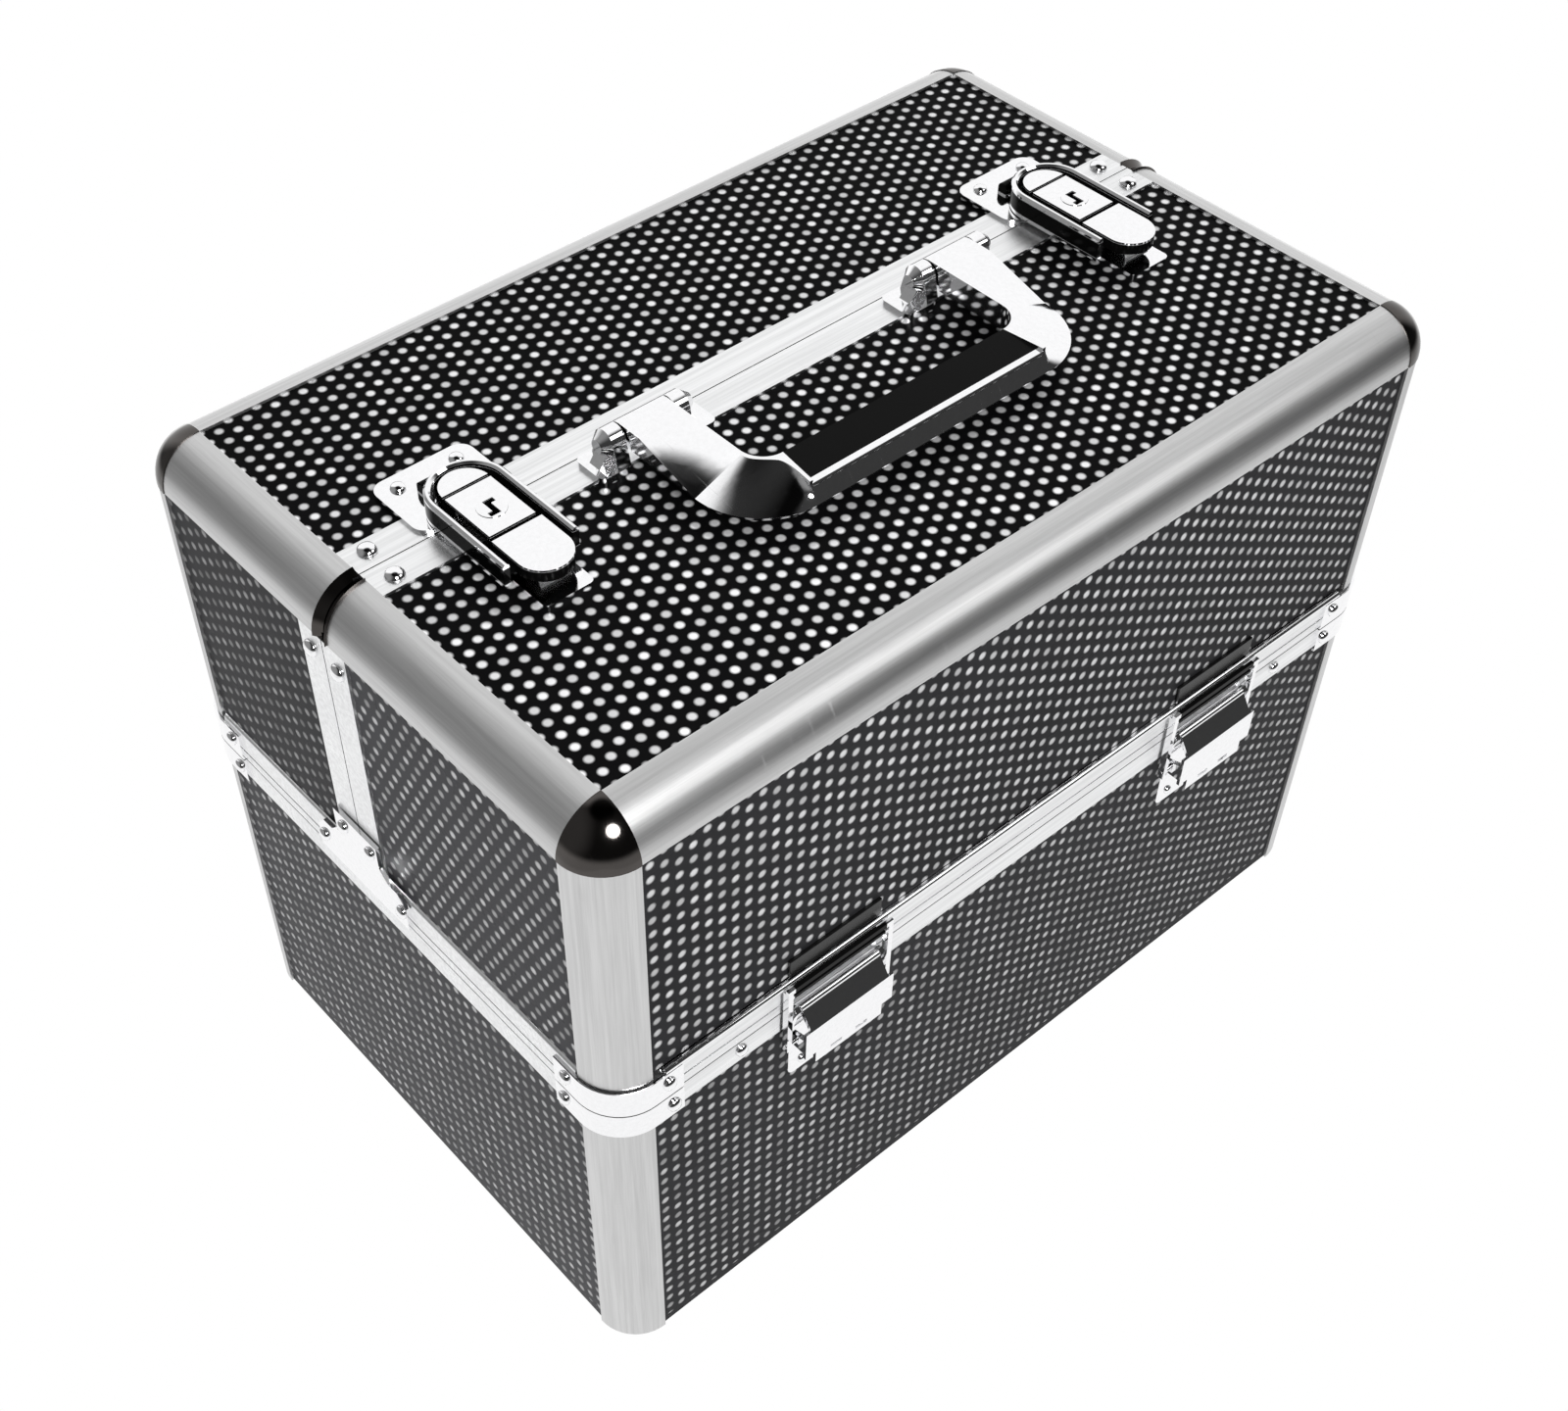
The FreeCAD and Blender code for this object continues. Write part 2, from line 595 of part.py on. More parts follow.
def tray_bosses(sy):
    """Bushings on the inside of a lid's end panels for the tray studs."""
    pieces = []
    wall = -HX + LIP + PANEL
    for length in (LINK_UPPER, LINK_LOWER):
        y, z = link_points(sy, length, 0)[0]
        ring = rod("x", y, z, wall, -BOSS_IN, BOSS_R).cut(rod("x", y, z, wall - 1, -BOSS_IN + 1, STUD_BORE_R))
        pieces += [ring, flip_x(ring)]
    return group(pieces)


def bow_section(place):
    """Section across the bow's outer edge; place maps (u, z) to a point, u measured inwards."""
    rim = [(0, HANDLE_MID), (0, HANDLE_TOP), (HANDLE_BEND, HANDLE_TOP), (HANDLE_BEND, HANDLE_LOW)]
    rim.append((HANDLE_UNDERCUT, HANDLE_LOW))
    pts = [place(u, z) for u, z in rim]
    return Part.Face(Part.makePolygon(pts + pts[:1]))


def slope_cutter(crest, foot):
    """Space over the ruled slope between a crest edge and a lower foot edge."""
    return Part.makeRuledSurface(crest, foot).extrude(V(0, 0, 2 * HANDLE_TOP - 2 * HANDLE_MID))


def segment(start, end):
    """Straight edge."""
    return Part.LineSegment(V(*start), V(*end)).toShape()


def bow_slopes():
    """Cutters of the outer slope, which starts flat at the pivots and is steepest along the bar."""
    over = 0.3
    foot_z = HANDLE_MID - 0.1
    side, bend_y = -HANDLE_HALF - over, HANDLE_FRONT + HANDLE_BEND
    bend_x, front = HANDLE_BEND - HANDLE_HALF, HANDLE_FRONT - over
    crest_x = -HANDLE_INNER_X - HANDLE_LAND
    ridge_x, ridge_z = -GRIP_RIDGE_HALF - HANDLE_LAND, HANDLE_TOP - GRIP_RIDGE_DROP
    ridge = (ridge_x, GRIP_RIDGE_Y, ridge_z)
    inner_x = -GRIP_INNER_HALF - HANDLE_LAND
    line = [(crest_x, bend_y, HANDLE_TOP), (crest_x + 2.5, bend_y - 5.0, HANDLE_TOP)]
    line.append((inner_x - 2.3, HANDLE_INNER_Y - 1.9, HANDLE_TOP))
    line.append((inner_x - 1.3, (HANDLE_INNER_Y + GRIP_RIDGE_Y) / 2.0, (HANDLE_TOP + ridge_z) / 2.0))
    line.append(ridge)
    crest = Part.BSplineCurve()
    crest.interpolate([V(*p) for p in line])
    reach = HANDLE_BEND + over
    middle = V(bend_x - reach * math.sqrt(0.5), bend_y - reach * math.sqrt(0.5), foot_z)
    foot = Part.Arc(V(side, bend_y, foot_z), middle, V(bend_x, front, foot_z)).toShape()
    corner = slope_cutter(crest.toShape(), foot)
    arm_crest = segment((crest_x, HANDLE_FLAT_Y, HANDLE_TOP), (crest_x, bend_y, HANDLE_TOP))
    arm_foot = segment((side, HANDLE_FLAT_Y, HANDLE_TOP), (side, bend_y, foot_z))
    arm = slope_cutter(arm_crest, arm_foot)
    bar_crest = segment(ridge, (-ridge_x, GRIP_RIDGE_Y, ridge_z))
    bar = slope_cutter(bar_crest, segment((bend_x, front, foot_z), (-bend_x, front, foot_z)))
    return [corner, arm, bar, flip_x(corner), flip_x(arm)]


def bow():
    """Handle blank: the section drawn along both arms and the bar, and turned round both corners."""
    x, y = -HANDLE_HALF, HANDLE_FRONT
    bend_x, bend_y = x + HANDLE_BEND, y + HANDLE_BEND
    root = HANDLE_Y + HANDLE_KNUCKLE_R
    across = bow_section(lambda u, z: V(x + u, bend_y, z))
    arm = across.extrude(V(0, root - bend_y, 0))
    corner = across.revolve(V(bend_x, bend_y, 0), V(0, 0, 1), 90)
    bar = bow_section(lambda u, z: V(bend_x, y + u, z)).extrude(V(-2 * bend_x, 0, 0))
    blank = joined([bar, arm, corner, flip_x(arm), flip_x(corner)])
    return blank.cut(bow_slopes())


def handle():
    """Carrying bow with an outer slope and a black grip insert, and its pivot brackets."""
    body = bow()
    low, high = HANDLE_LOW - 1, HANDLE_TOP + 1
    window = plate(-HANDLE_INNER_X, HANDLE_INNER_X, HANDLE_INNER_Y, 60, HANDLE_WINDOW_R, low, high)
    root = box(-HANDLE_HALF - 1, HANDLE_HALF + 1, HANDLE_Y, HANDLE_Y + 2 * HANDLE_KNUCKLE_R, low, high)
    knuckle = rod("x", HANDLE_Y, HANDLE_Z, -HANDLE_HALF - 2, HANDLE_HALF + 2, HANDLE_KNUCKLE_R)
    bore = rod("x", HANDLE_Y, HANDLE_Z, -HANDLE_HALF - 2, HANDLE_HALF + 2, HANDLE_BORE_R)
    body = body.cut([window, root.cut(knuckle), bore])
    inner, ridge = HANDLE_INNER_Y, GRIP_RIDGE_Y
    ridge_z = HANDLE_TOP - GRIP_RIDGE_DROP
    sole = [(inner, HANDLE_TOP - GRIP_T), (ridge, ridge_z - GRIP_T)]
    skin = prism("x", sole + [(ridge, ridge_z), (inner, HANDLE_TOP)], -HANDLE_HALF, HANDLE_HALF)
    room = prism("x", sole + [(ridge, high), (inner, high)], -HANDLE_HALF, HANDLE_HALF)
    plan = [(-GRIP_INNER_HALF, inner), (-GRIP_RIDGE_HALF, ridge)]
    plan += [(GRIP_RIDGE_HALF, ridge), (GRIP_INNER_HALF, inner)]
    seat = prism("z", plan, low, high)
    nodes["handle_bow"] = body.cut(room.common(seat))
    nodes["handle_grip"] = skin.common(seat)
    inner_lug = (HANDLE_INNER_X - 0.5, HANDLE_INNER_X - 0.5 - BRACKET_LUG_T, HANDLE_INNER_X - BRACKET_FOOT_IN)
    outer_lug = (HANDLE_HALF + 0.5, HANDLE_HALF + 0.5 + BRACKET_LUG_T, HANDLE_HALF + BRACKET_FOOT_OUT)
    r = HANDLE_KNUCKLE_R
    pieces = []
    for face, back, end in (inner_lug, outer_lug):
        x0, x1 = sorted((face, end))
        foot_top = HEIGHT + BRACKET_FOOT_T
        y0, y1 = HANDLE_Y - BRACKET_FOOT_HALF, HANDLE_Y + BRACKET_FOOT_HALF
        pieces.append(plate(x0, x1, y0, y1, 2.5, HEIGHT - LIP, foot_top))
        web = [(HANDLE_Y - 6.5, HEIGHT + 1), (HANDLE_Y + 6.5, HEIGHT + 1), (HANDLE_Y + r, HANDLE_Z)]
        pieces.append(prism("x", web + [(HANDLE_Y - r, HANDLE_Z)], face, back))
        pieces.append(rod("x", HANDLE_Y, HANDLE_Z, face, back, r))
        way = 1 if end > face else -1
        pieces.append(Part.makeCone(r, r / 2.0, 3.0, V(back, HANDLE_Y, HANDLE_Z), V(way, 0, 0)))
        gusset = [(back, HEIGHT + 1), (back + way * 4.5, HEIGHT + 1), (back, HANDLE_Z - 1)]
        pieces.append(prism("y", gusset, HANDLE_Y - 2.5, HANDLE_Y + 2.5))
    pieces.append(rod("x", HANDLE_Y, HANDLE_Z, inner_lug[1], outer_lug[1], HANDLE_PIN_R))
    bracket = joined(pieces).cut(box(0, HX, 0, 2 * HANDLE_Y + 7, HEIGHT - 2 * LIP, HEIGHT))
    nodes["handle_brackets"] = group([bracket, flip_x(bracket)])


def pill(x, half, flat, tip, z0, z1):
    """Upright blank with one flat end and one round end along y."""
    centre = tip + half if tip < flat else tip - half
    return joined([box(x - half, x + half, flat, centre, z0, z1), rod("z", x, centre, z0, z1, half)])


def keyway(x):
    """S-shaped slot in a key plug."""
    w, reach, tall = KEYWAY_W / 2.0, KEYWAY_REACH, KEYWAY_H / 2.0
    low, high = LOCK_TOP - KEYWAY_DEPTH, LOCK_TOP + 1.0
    stem = box(x - w, x + w, PLUG_Y - tall, PLUG_Y + tall, low, high)
    upper = box(x - w, x + reach, PLUG_Y + tall - KEYWAY_W, PLUG_Y + tall, low, high)
    lower = box(x - reach, x + w, PLUG_Y - tall, PLUG_Y - tall + KEYWAY_W, low, high)
    return [stem, upper, lower]


def lock_base(x):
    """Plate with lock block and rear hinge lugs, on the rear half."""
    h = HEIGHT
    half = LOCK_PLATE_HALF
    base = plate(x - half, x + half, LOCK_PLATE_FRONT, LOCK_PLATE_REAR, 5.0, h, h + LOCK_PLATE_T)
    block = pill(x, LOCK_BLOCK_HALF, LOCK_BLOCK_FRONT, LOCK_BLOCK_REAR, h + 1.0, LOCK_TOP)
    over_front = box(x - half, x + half, LOCK_BLOCK_FRONT - 1, LOCK_GROOVE_Y, h, h + 2.0)
    groove_end = LOCK_GROOVE_Y + LOCK_GROOVE_W
    groove = box(x - half, x + half, LOCK_GROOVE_Y, groove_end, LOCK_TOP - LOCK_GROOVE_DEPTH, LOCK_TOP + 1)
    well = rod("z", x, PLUG_Y, h + 4.0, LOCK_TOP + 1, PLUG_R + 0.05)
    pieces = [base, block.cut([over_front, groove, well])]
    y, z, r = LOCK_PIN_Y, LOCK_PIN_Z, LOCK_KNUCKLE_R
    for s in (-1, 1):
        near, far = x + s * (LOCK_KNUCKLE_HALF + 0.3), x + s * LOCK_LUG_HALF
        pieces.append(rod("x", y, z, near, far, r))
        pieces.append(box(near, far, y - r, y + r, h + 1.0, z))
    pieces.append(rod("x", y, z, x - LOCK_LUG_HALF, x + LOCK_LUG_HALF, LOCK_PIN_R))
    return joined(pieces)


def hasp(x):
    """Thin-walled hoop with a raised tongue in front and a hinge knuckle behind."""
    h = HEIGHT
    ring = pill(x, HOOP_HALF, HOOP_FRONT, HOOP_REAR, HOOP_LOW, HOOP_TOP)
    inside = pill(x, HOOP_HALF - HOOP_WALL, HOOP_FRONT - 1, HOOP_REAR - HOOP_WALL, h, HOOP_TOP + 1)
    rails = ring.cut(inside)
    crest = [e for e in rails.Edges if e.BoundBox.ZMin > HOOP_TOP - 0.01 and e.Length > 2 * HOOP_WALL]
    rails = rails.makeChamfer(HOOP_BEVEL, crest)
    tongue = pill(x, TONGUE_HALF, TONGUE_REAR, TONGUE_FRONT, h + 5.0, LOCK_TOP)
    web = box(x - HOOP_HALF + 1, x + HOOP_HALF - 1, HOOP_FRONT + 1, TONGUE_REAR - 1.5, h + 4.6, h + 6.4)
    y, z, r = LOCK_PIN_Y, LOCK_PIN_Z, LOCK_KNUCKLE_R
    half = LOCK_KNUCKLE_HALF
    knuckle = rod("x", y, z, x - half, x + half, r)
    tab = box(x - half, x + half, HOOP_REAR - 1.5, y, z - 1.0, z + r)
    bore = rod("x", y, z, x - HOOP_HALF, x + HOOP_HALF, LOCK_PIN_R + 0.06)
    return joined([rails, web, tongue, tab, knuckle]).cut(bore)


def keeper(x):
    """Low catch under the tongue, on the front half."""
    h = HEIGHT
    foot = plate(x - TONGUE_HALF, x + TONGUE_HALF, KEEPER_FRONT, KEEPER_REAR, 2.0, h - LIP, h + KEEPER_T)
    low, top, lean = h + KEEPER_T / 2, h + KEEPER_H, KEEPER_LEAN
    front, rear, half = STAND_FRONT, STAND_REAR, STAND_HALF
    stand = [(front, low), (rear, low), (rear - lean, top), (front + lean, top)]
    return joined([foot, prism("x", stand, x - half, x + half)])


def locks():
    """Hasp locks: bases on the rear half, hoops, key plugs, and keepers on the front half."""
    for sx, side in SIDES:
        x = sx * LOCK_X
        nodes["hasp_" + side] = hasp(x)
        plug = rod("z", x, PLUG_Y, HEIGHT + 4.05, LOCK_TOP + 0.2, PLUG_R)
        nodes["key_plug_" + side] = plug.cut(keyway(x))
    nodes["lock_bases"] = group([lock_base(sx * LOCK_X) for sx, side in SIDES])
    nodes["lock_keepers"] = group([keeper(sx * LOCK_X) for sx, side in SIDES])


def latch_base(x):
    """Plate on the lower front wall with two ears that carry the lever's pin."""
    wall = -HY + LIP
    face = wall - TOGGLE_BASE_T
    ledge = RIM_LOW - 0.2
    back = plate(x - TOGGLE_HALF, x + TOGGLE_HALF, TOGGLE_LOW, ledge, 3.0, 0, TOGGLE_BASE_T)
    back.rotate(V(0, 0, 0), V(1, 0, 0), 90)
    back.translate(V(0, wall, 0))
    foot, bend = CLAW_Z, CLAW_Z + 4.0
    ear = [(wall, foot), (wall, ledge), (-HY, ledge), (-HY, LEVER_Z), (LEVER_Y, LEVER_Z + LEVER_ROLL_R)]
    ear += [(LEVER_Y - LEVER_ROLL_R, LEVER_Z), (LEVER_Y, LEVER_Z - 3.5), (face, bend), (face, foot)]
    pin_half = TOGGLE_HALF + 0.2
    pieces = [back, rod("x", LEVER_Y, LEVER_Z, x - pin_half, x + pin_half, LEVER_PIN_R)]
    for s in (-1, 1):
        pieces.append(prism("x", ear, x + s * EAR_IN, x + s * TOGGLE_HALF))
    return joined(pieces)


def latch_lever(x):
    """Bent lever plate with a rolled eye, a narrower slotted tail and flanges for the claw's studs."""
    r, t, face = LEVER_ROLL_R, LEVER_T, LEVER_FACE_Y
    roll = rod("x", LEVER_Y, LEVER_Z, x - LEVER_HALF, x + LEVER_HALF, r)
    neck = [(LEVER_Y + 0.2, LEVER_Z), (LEVER_Y - r, LEVER_Z), (face, LEVER_BEND_Z)]
    neck += [(face + t, LEVER_BEND_Z - 0.3), (LEVER_Y - 0.2, LEVER_Z - r)]
    blade = [(face, LEVER_BEND_Z), (face, LEVER_END_Z + t / 2), (face + t / 2, LEVER_END_Z)]
    blade += [(face + t, LEVER_END_Z + t / 2), (face + t, LEVER_BEND_Z - 0.3)]
    sheet = prism("x", blade, x - TOGGLE_HALF, x + TOGGLE_HALF)
    pieces = [roll, prism("x", neck, x - LEVER_HALF, x + LEVER_HALF)]
    low, high = CLAW_Z - 1.6, CLAW_Z + 3.5
    flange = [(CLAW_Y + 1.0, low), (CLAW_Y + 1.0, high), (face + t / 2, high + 2.0), (face + t / 2, low)]
    cuts = [rod("x", LEVER_Y, LEVER_Z, x - TOGGLE_HALF, x + TOGGLE_HALF, LEVER_PIN_R + TOGGLE_PLAY)]
    slot_low = LEVER_END_Z + 2.4
    for s in (-1, 1):
        outer = x + s * (TOGGLE_HALF + 1)
        notch = box(x + s * LEVER_TAIL_HALF, outer, face - 1, face + 2, LEVER_END_Z - 1, LEVER_STEP_Z)
        sheet = sheet.cut(notch)
        pieces.append(rod("x", CLAW_Y, CLAW_Z, x + s * FLANGE_IN, x + s * (CLAW_OUT + 0.2), CLAW_STUD_R))
        pieces.append(prism("x", flange, x + s * FLANGE_IN, x + s * (TOGGLE_HALF - 0.1)))
        cuts.append(box(x + s * SLOT_IN, x + s * SLOT_OUT, face - 1, face + 2, slot_low, slot_low + SLOT_H))
    return joined(pieces + [sheet]).cut(cuts)


def latch_claw(x):
    """Slim frame that hangs on the lever and reaches over the catch."""
    front, back = CLAW_FRONT_Y, CLAW_FRONT_Y + 1.4
    side_top = DECK_TOP - 0.4
    pieces = [box(x - CLAW_OUT, x + CLAW_OUT, front, back, side_top - 0.4, CLAW_TOP)]
    pieces.append(box(x - CLAW_OUT, x + CLAW_OUT, front + 0.4, back, CLAW_BAR_Z, CLAW_BAR_Z + 1.0))
    for s in (-1, 1):
        pieces.append(box(x + s * CLAW_IN, x + s * CLAW_OUT, front, -HY - 0.7, CLAW_Z - 2.2, side_top))
    bore = rod("x", CLAW_Y, CLAW_Z, x - CLAW_OUT - 1, x + CLAW_OUT + 1, CLAW_STUD_R + TOGGLE_PLAY)
    return joined(pieces).cut(bore)


def toggles():
    """Draw latches: base and lever on the lower box, claw on the lever, catch on the deck."""
    catches = []
    for sx, side in SIDES:
        x = sx * TOGGLE_X
        nodes["toggle_base_" + side] = latch_base(x)
        nodes["toggle_lever_" + side] = latch_lever(x)
        nodes["toggle_claw_" + side] = latch_claw(x)
        catches.append(box(x - EAR_IN, x + EAR_IN, -HY - CATCH_T, -HY, CATCH_LOW, DECK_TOP - 0.6))
    nodes["toggle_catches"] = group(catches)


lower_box()
butt_hinges()
deck()
lid_hinges()
lid_half("front", -1)
lid_half("rear", 1)
nodes["front_tray_upper"] = tray(-1, LINK_UPPER, FRONT_ARM_STEP, TRAY_OUT_UPPER)
nodes["front_tray_lower"] = tray(-1, LINK_LOWER, FRONT_ARM_STEP, TRAY_OUT_LOWER)
nodes["rear_tray_upper"] = tray(1, LINK_UPPER, REAR_ARM_STEP, TRAY_OUT_UPPER)
nodes["rear_tray_lower"] = tray(1, LINK_LOWER, REAR_ARM_STEP, TRAY_OUT_LOWER)
nodes["front_arms"] = arm_pair(-1, FRONT_ARM_STEP)
nodes["rear_arms"] = arm_pair(1, REAR_ARM_STEP)
arm_uprights()
nodes["front_tray_bosses"] = tray_bosses(-1)
nodes["rear_tray_bosses"] = tray_bosses(1)
handle()
locks()
toggles()

os.makedirs("parts", exist_ok=True)
for node, shape in nodes.items():
    placed = moved(shape, 0, Y_SHIFT, FOOT_H)
    placed.exportStep("parts/" + node + ".step")
    print(node, len(placed.Solids), placed.isValid())
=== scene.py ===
"""Looks of the makeup train case: finishes, rivets, fittings and the studio around the CAD frame."""
import logging
import math
from dataclasses import dataclass, field
from enum import Enum
from typing import Callable, Iterable, Sequence

import bmesh
import bpy
from mathutils import Matrix, Vector


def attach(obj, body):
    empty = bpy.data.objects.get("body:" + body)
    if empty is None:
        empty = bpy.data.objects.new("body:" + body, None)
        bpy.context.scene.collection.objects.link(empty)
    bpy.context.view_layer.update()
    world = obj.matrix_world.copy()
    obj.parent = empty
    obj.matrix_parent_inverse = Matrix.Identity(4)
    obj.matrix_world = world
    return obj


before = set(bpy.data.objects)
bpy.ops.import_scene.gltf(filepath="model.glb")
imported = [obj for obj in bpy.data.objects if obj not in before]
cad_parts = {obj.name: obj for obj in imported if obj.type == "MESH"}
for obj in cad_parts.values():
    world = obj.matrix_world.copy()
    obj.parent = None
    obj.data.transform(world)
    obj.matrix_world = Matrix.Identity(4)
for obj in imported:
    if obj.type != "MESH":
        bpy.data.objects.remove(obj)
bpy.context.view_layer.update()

logging.basicConfig(level=logging.INFO, format="%(name)s: %(message)s")
LOG = logging.getLogger("train_case")

# Case coordinates are in mm: x to the right, y to the rear, z up from the walls' lower edge.
MM = 0.001
Y_SHIFT = 1.6
FOOT = 3.0
HALF_X = 180.0
HALF_Y = 115.0
TOP = 266.0
SPLIT = 12.0
UP = Vector((0, 0, 1))
LEFT = Vector((-1, 0, 0))
FRONT = Vector((0, -1, 0))
SIDES = (-1, 1)
WHITE = (1.0, 1.0, 1.0, 1.0)
# Range that most values of a noise lie in.
NOISE_BAND = (0.3, 0.7)


def spot(x: float, y: float, z: float) -> Vector:
    """Point of the shared frame for a place on the case.

    Args:
        x: mm to the right of the middle.
        y: mm to the rear of the middle.
        z: mm above the walls' lower edge.

    Returns:
        The point in metres.
    """
    return Vector((x * MM, (y + Y_SHIFT) * MM, (z + FOOT) * MM))


class Plane(Enum):
    """Direction a patterned panel faces: the two axes its pattern lies along, then the axis across it."""

    TOP = ("X", "Y", "Z")
    FRONT = ("X", "Z", "Y")
    END = ("Y", "Z", "X")
    END_TURNED = ("Z", "Y", "X")


class Graph:
    """Short notation for building one node tree."""

    def __init__(self, tree: bpy.types.NodeTree) -> None:
        """Keeps the tree.

        Args:
            tree: The shader node tree to add to.
        """
        self.tree = tree

    def add(self, kind: str, sockets: dict | None = None, **settings: object) -> bpy.types.Node:
        """Adds a node.

        Args:
            kind: Node type identifier.
            sockets: Input name or index to a constant or to another node's output.
            **settings: Node properties.

        Returns:
            The new node.
        """
        node = self.tree.nodes.new(kind)
        for name, value in settings.items():
            setattr(node, name, value)
        for name, value in (sockets or {}).items():
            self.put(node.inputs[name], value)
        return node

    def put(self, socket: bpy.types.NodeSocket, value: object) -> None:
        """Sets or links one input.

        Args:
            socket: Input to feed.
            value: Constant, or an output socket.
        """
        if isinstance(value, bpy.types.NodeSocket):
            self.tree.links.new(value, socket)
        else:
            socket.default_value = value

    def math(self, operation: str, *values: object) -> bpy.types.NodeSocket:
        """Adds a maths node.

        Args:
            operation: Blender's name of the operation.
            *values: Inputs in order.

        Returns:
            The node's output.
        """
        return self.add("ShaderNodeMath", dict(enumerate(values)), operation=operation).outputs[0]

    def ramp(self, value: object, low: float, high: float,
             to: tuple[float, float] = (0.0, 1.0)) -> bpy.types.NodeSocket:
        """Smooth step from one range to another.

        Args:
            value: Input value.
            low: Input that gives the first result.
            high: Input that gives the second result.
            to: The two results.

        Returns:
            The stepped value.
        """
        sockets = {"Value": value, "From Min": low, "From Max": high, "To Min": to[0], "To Max": to[1]}
        return self.add("ShaderNodeMapRange", sockets, interpolation_type="SMOOTHSTEP").outputs[0]

    def mix(self, factor: object, first: object, second: object) -> bpy.types.NodeSocket:
        """Blends two colours.

        Args:
            factor: Share of the second.
            first: First colour.
            second: Second colour.

        Returns:
            The blended colour.
        """
        return self.add("ShaderNodeMix", {0: factor, 6: first, 7: second}, data_type="RGBA").outputs[2]

    def blend(self, factor: object, first: object, second: object) -> bpy.types.NodeSocket:
        """Blends two values.

        Args:
            factor: Share of the second.
            first: First value.
            second: Second value.

        Returns:
            The blended value.
        """
        return self.add("ShaderNodeMix", {0: factor, 2: first, 3: second}, data_type="FLOAT").outputs[0]


class Effects:
    """Shader node groups shared by the finishes, each built once.

    DOT_EDGE gives the shares of a dot's radius between which it fades out. DOT_GRID is the step to which
    the middle of a dot is rounded, so that the whole dot draws one chance, and SECOND_GRID tells the two
    grids of dots apart.
    """

    DOT_EDGE = (1.38, 0.62)
    DOT_GRID = (0.1, 0.1, 0.1)
    SECOND_GRID = 7.0
    CLOUD_SHARE = 0.06
    SCRATCH_TURNS = (0.35, 1.9)
    SCRATCH_AXES = (0.6, 0.4, 1.0)
    SCRATCH_SCALE = (900.0, 34.0, 60.0)
    SCRATCH_EDGE = (0.70, 0.78)
    SMUDGE_SCALE = 38.0

    def __init__(self) -> None:
        """Builds every group."""
        vector, value = "NodeSocketVector", "NodeSocketFloat"
        self.dots = self.build("hex_dots", {"Vector": vector, "Pitch": value, "Radius": value},
                               {"Mask": value, "Dome": value, "Chance": value}, self.fill_dots)
        self.grain = self.build("drawn_grain", {"Vector": vector, "Scale": value},
                                {"Streak": value, "Cloud": value}, self.fill_grain)
        self.marks = self.build("handling_marks", {"Vector": vector, "Amount": value},
                                {"Scratch": value, "Smudge": value}, self.fill_marks)

    @staticmethod
    def build(name: str, takes: dict[str, str], gives: dict[str, str],
              fill: Callable[[Graph, bpy.types.Node, bpy.types.Node], None]) -> bpy.types.ShaderNodeTree:
        """Makes one group.

        Args:
            name: Group name.
            takes: Input names and socket types.
            gives: Output names and socket types.
            fill: Adds the inner nodes.

        Returns:
            The group's tree.
        """
        tree = bpy.data.node_groups.new(name, "ShaderNodeTree")
        for label, kind in takes.items():
            tree.interface.new_socket(label, in_out="INPUT", socket_type=kind)
        for label, kind in gives.items():
            tree.interface.new_socket(label, in_out="OUTPUT", socket_type=kind)
        graph = Graph(tree)
        fill(graph, graph.add("NodeGroupInput"), graph.add("NodeGroupOutput"))
        return tree

    @staticmethod
    def fill_dots(graph: Graph, source: bpy.types.Node, result: bpy.types.Node) -> None:
        """Hexagonal lattice of round dots as two interleaved grids.

        Args:
            graph: Tree to fill.
            source: Group input.
            result: Group output.
        """
        split = graph.add("ShaderNodeSeparateXYZ", {0: source.outputs["Vector"]})
        pitch = source.outputs["Pitch"]
        step = graph.math("MULTIPLY", pitch, math.sqrt(0.75))
        half = graph.math("MULTIPLY", pitch, 0.5)
        reach = []
        for shift in (0.0, 1.0):
            u = graph.math("ADD", split.outputs[0], graph.math("MULTIPLY", step, shift))
            v = graph.math("ADD", split.outputs[1], graph.math("MULTIPLY", half, shift))
            du = graph.math("WRAP", u, step, graph.math("MULTIPLY", step, -1.0))
            dv = graph.math("WRAP", v, half, graph.math("MULTIPLY", half, -1.0))
            away = graph.math("ADD", graph.math("MULTIPLY", du, du), graph.math("MULTIPLY", dv, dv))
            middle = {0: graph.math("SUBTRACT", u, du), 1: graph.math("SUBTRACT", v, dv),
                      2: shift * Effects.SECOND_GRID}
            cell = graph.add("ShaderNodeCombineXYZ", middle).outputs[0]
            snapped = graph.add("ShaderNodeVectorMath", {0: cell, 1: Effects.DOT_GRID}, operation="SNAP")
            chance = graph.add("ShaderNodeTexWhiteNoise", {"Vector": snapped.outputs[0]},
                               noise_dimensions="3D")
            reach.append((graph.math("SQRT", away), chance.outputs["Value"]))
        near = graph.math("MINIMUM", reach[0][0], reach[1][0])
        second = graph.math("LESS_THAN", reach[1][0], reach[0][0])
        share = graph.math("DIVIDE", near, source.outputs["Radius"])
        graph.put(result.inputs["Mask"], graph.ramp(share, *Effects.DOT_EDGE))
        square = graph.math("SUBTRACT", 1.0, graph.math("MULTIPLY", share, share))
        graph.put(result.inputs["Dome"], graph.math("SQRT", graph.math("MAXIMUM", square, 0.0)))
        graph.put(result.inputs["Chance"], graph.blend(second, reach[0][1], reach[1][1]))

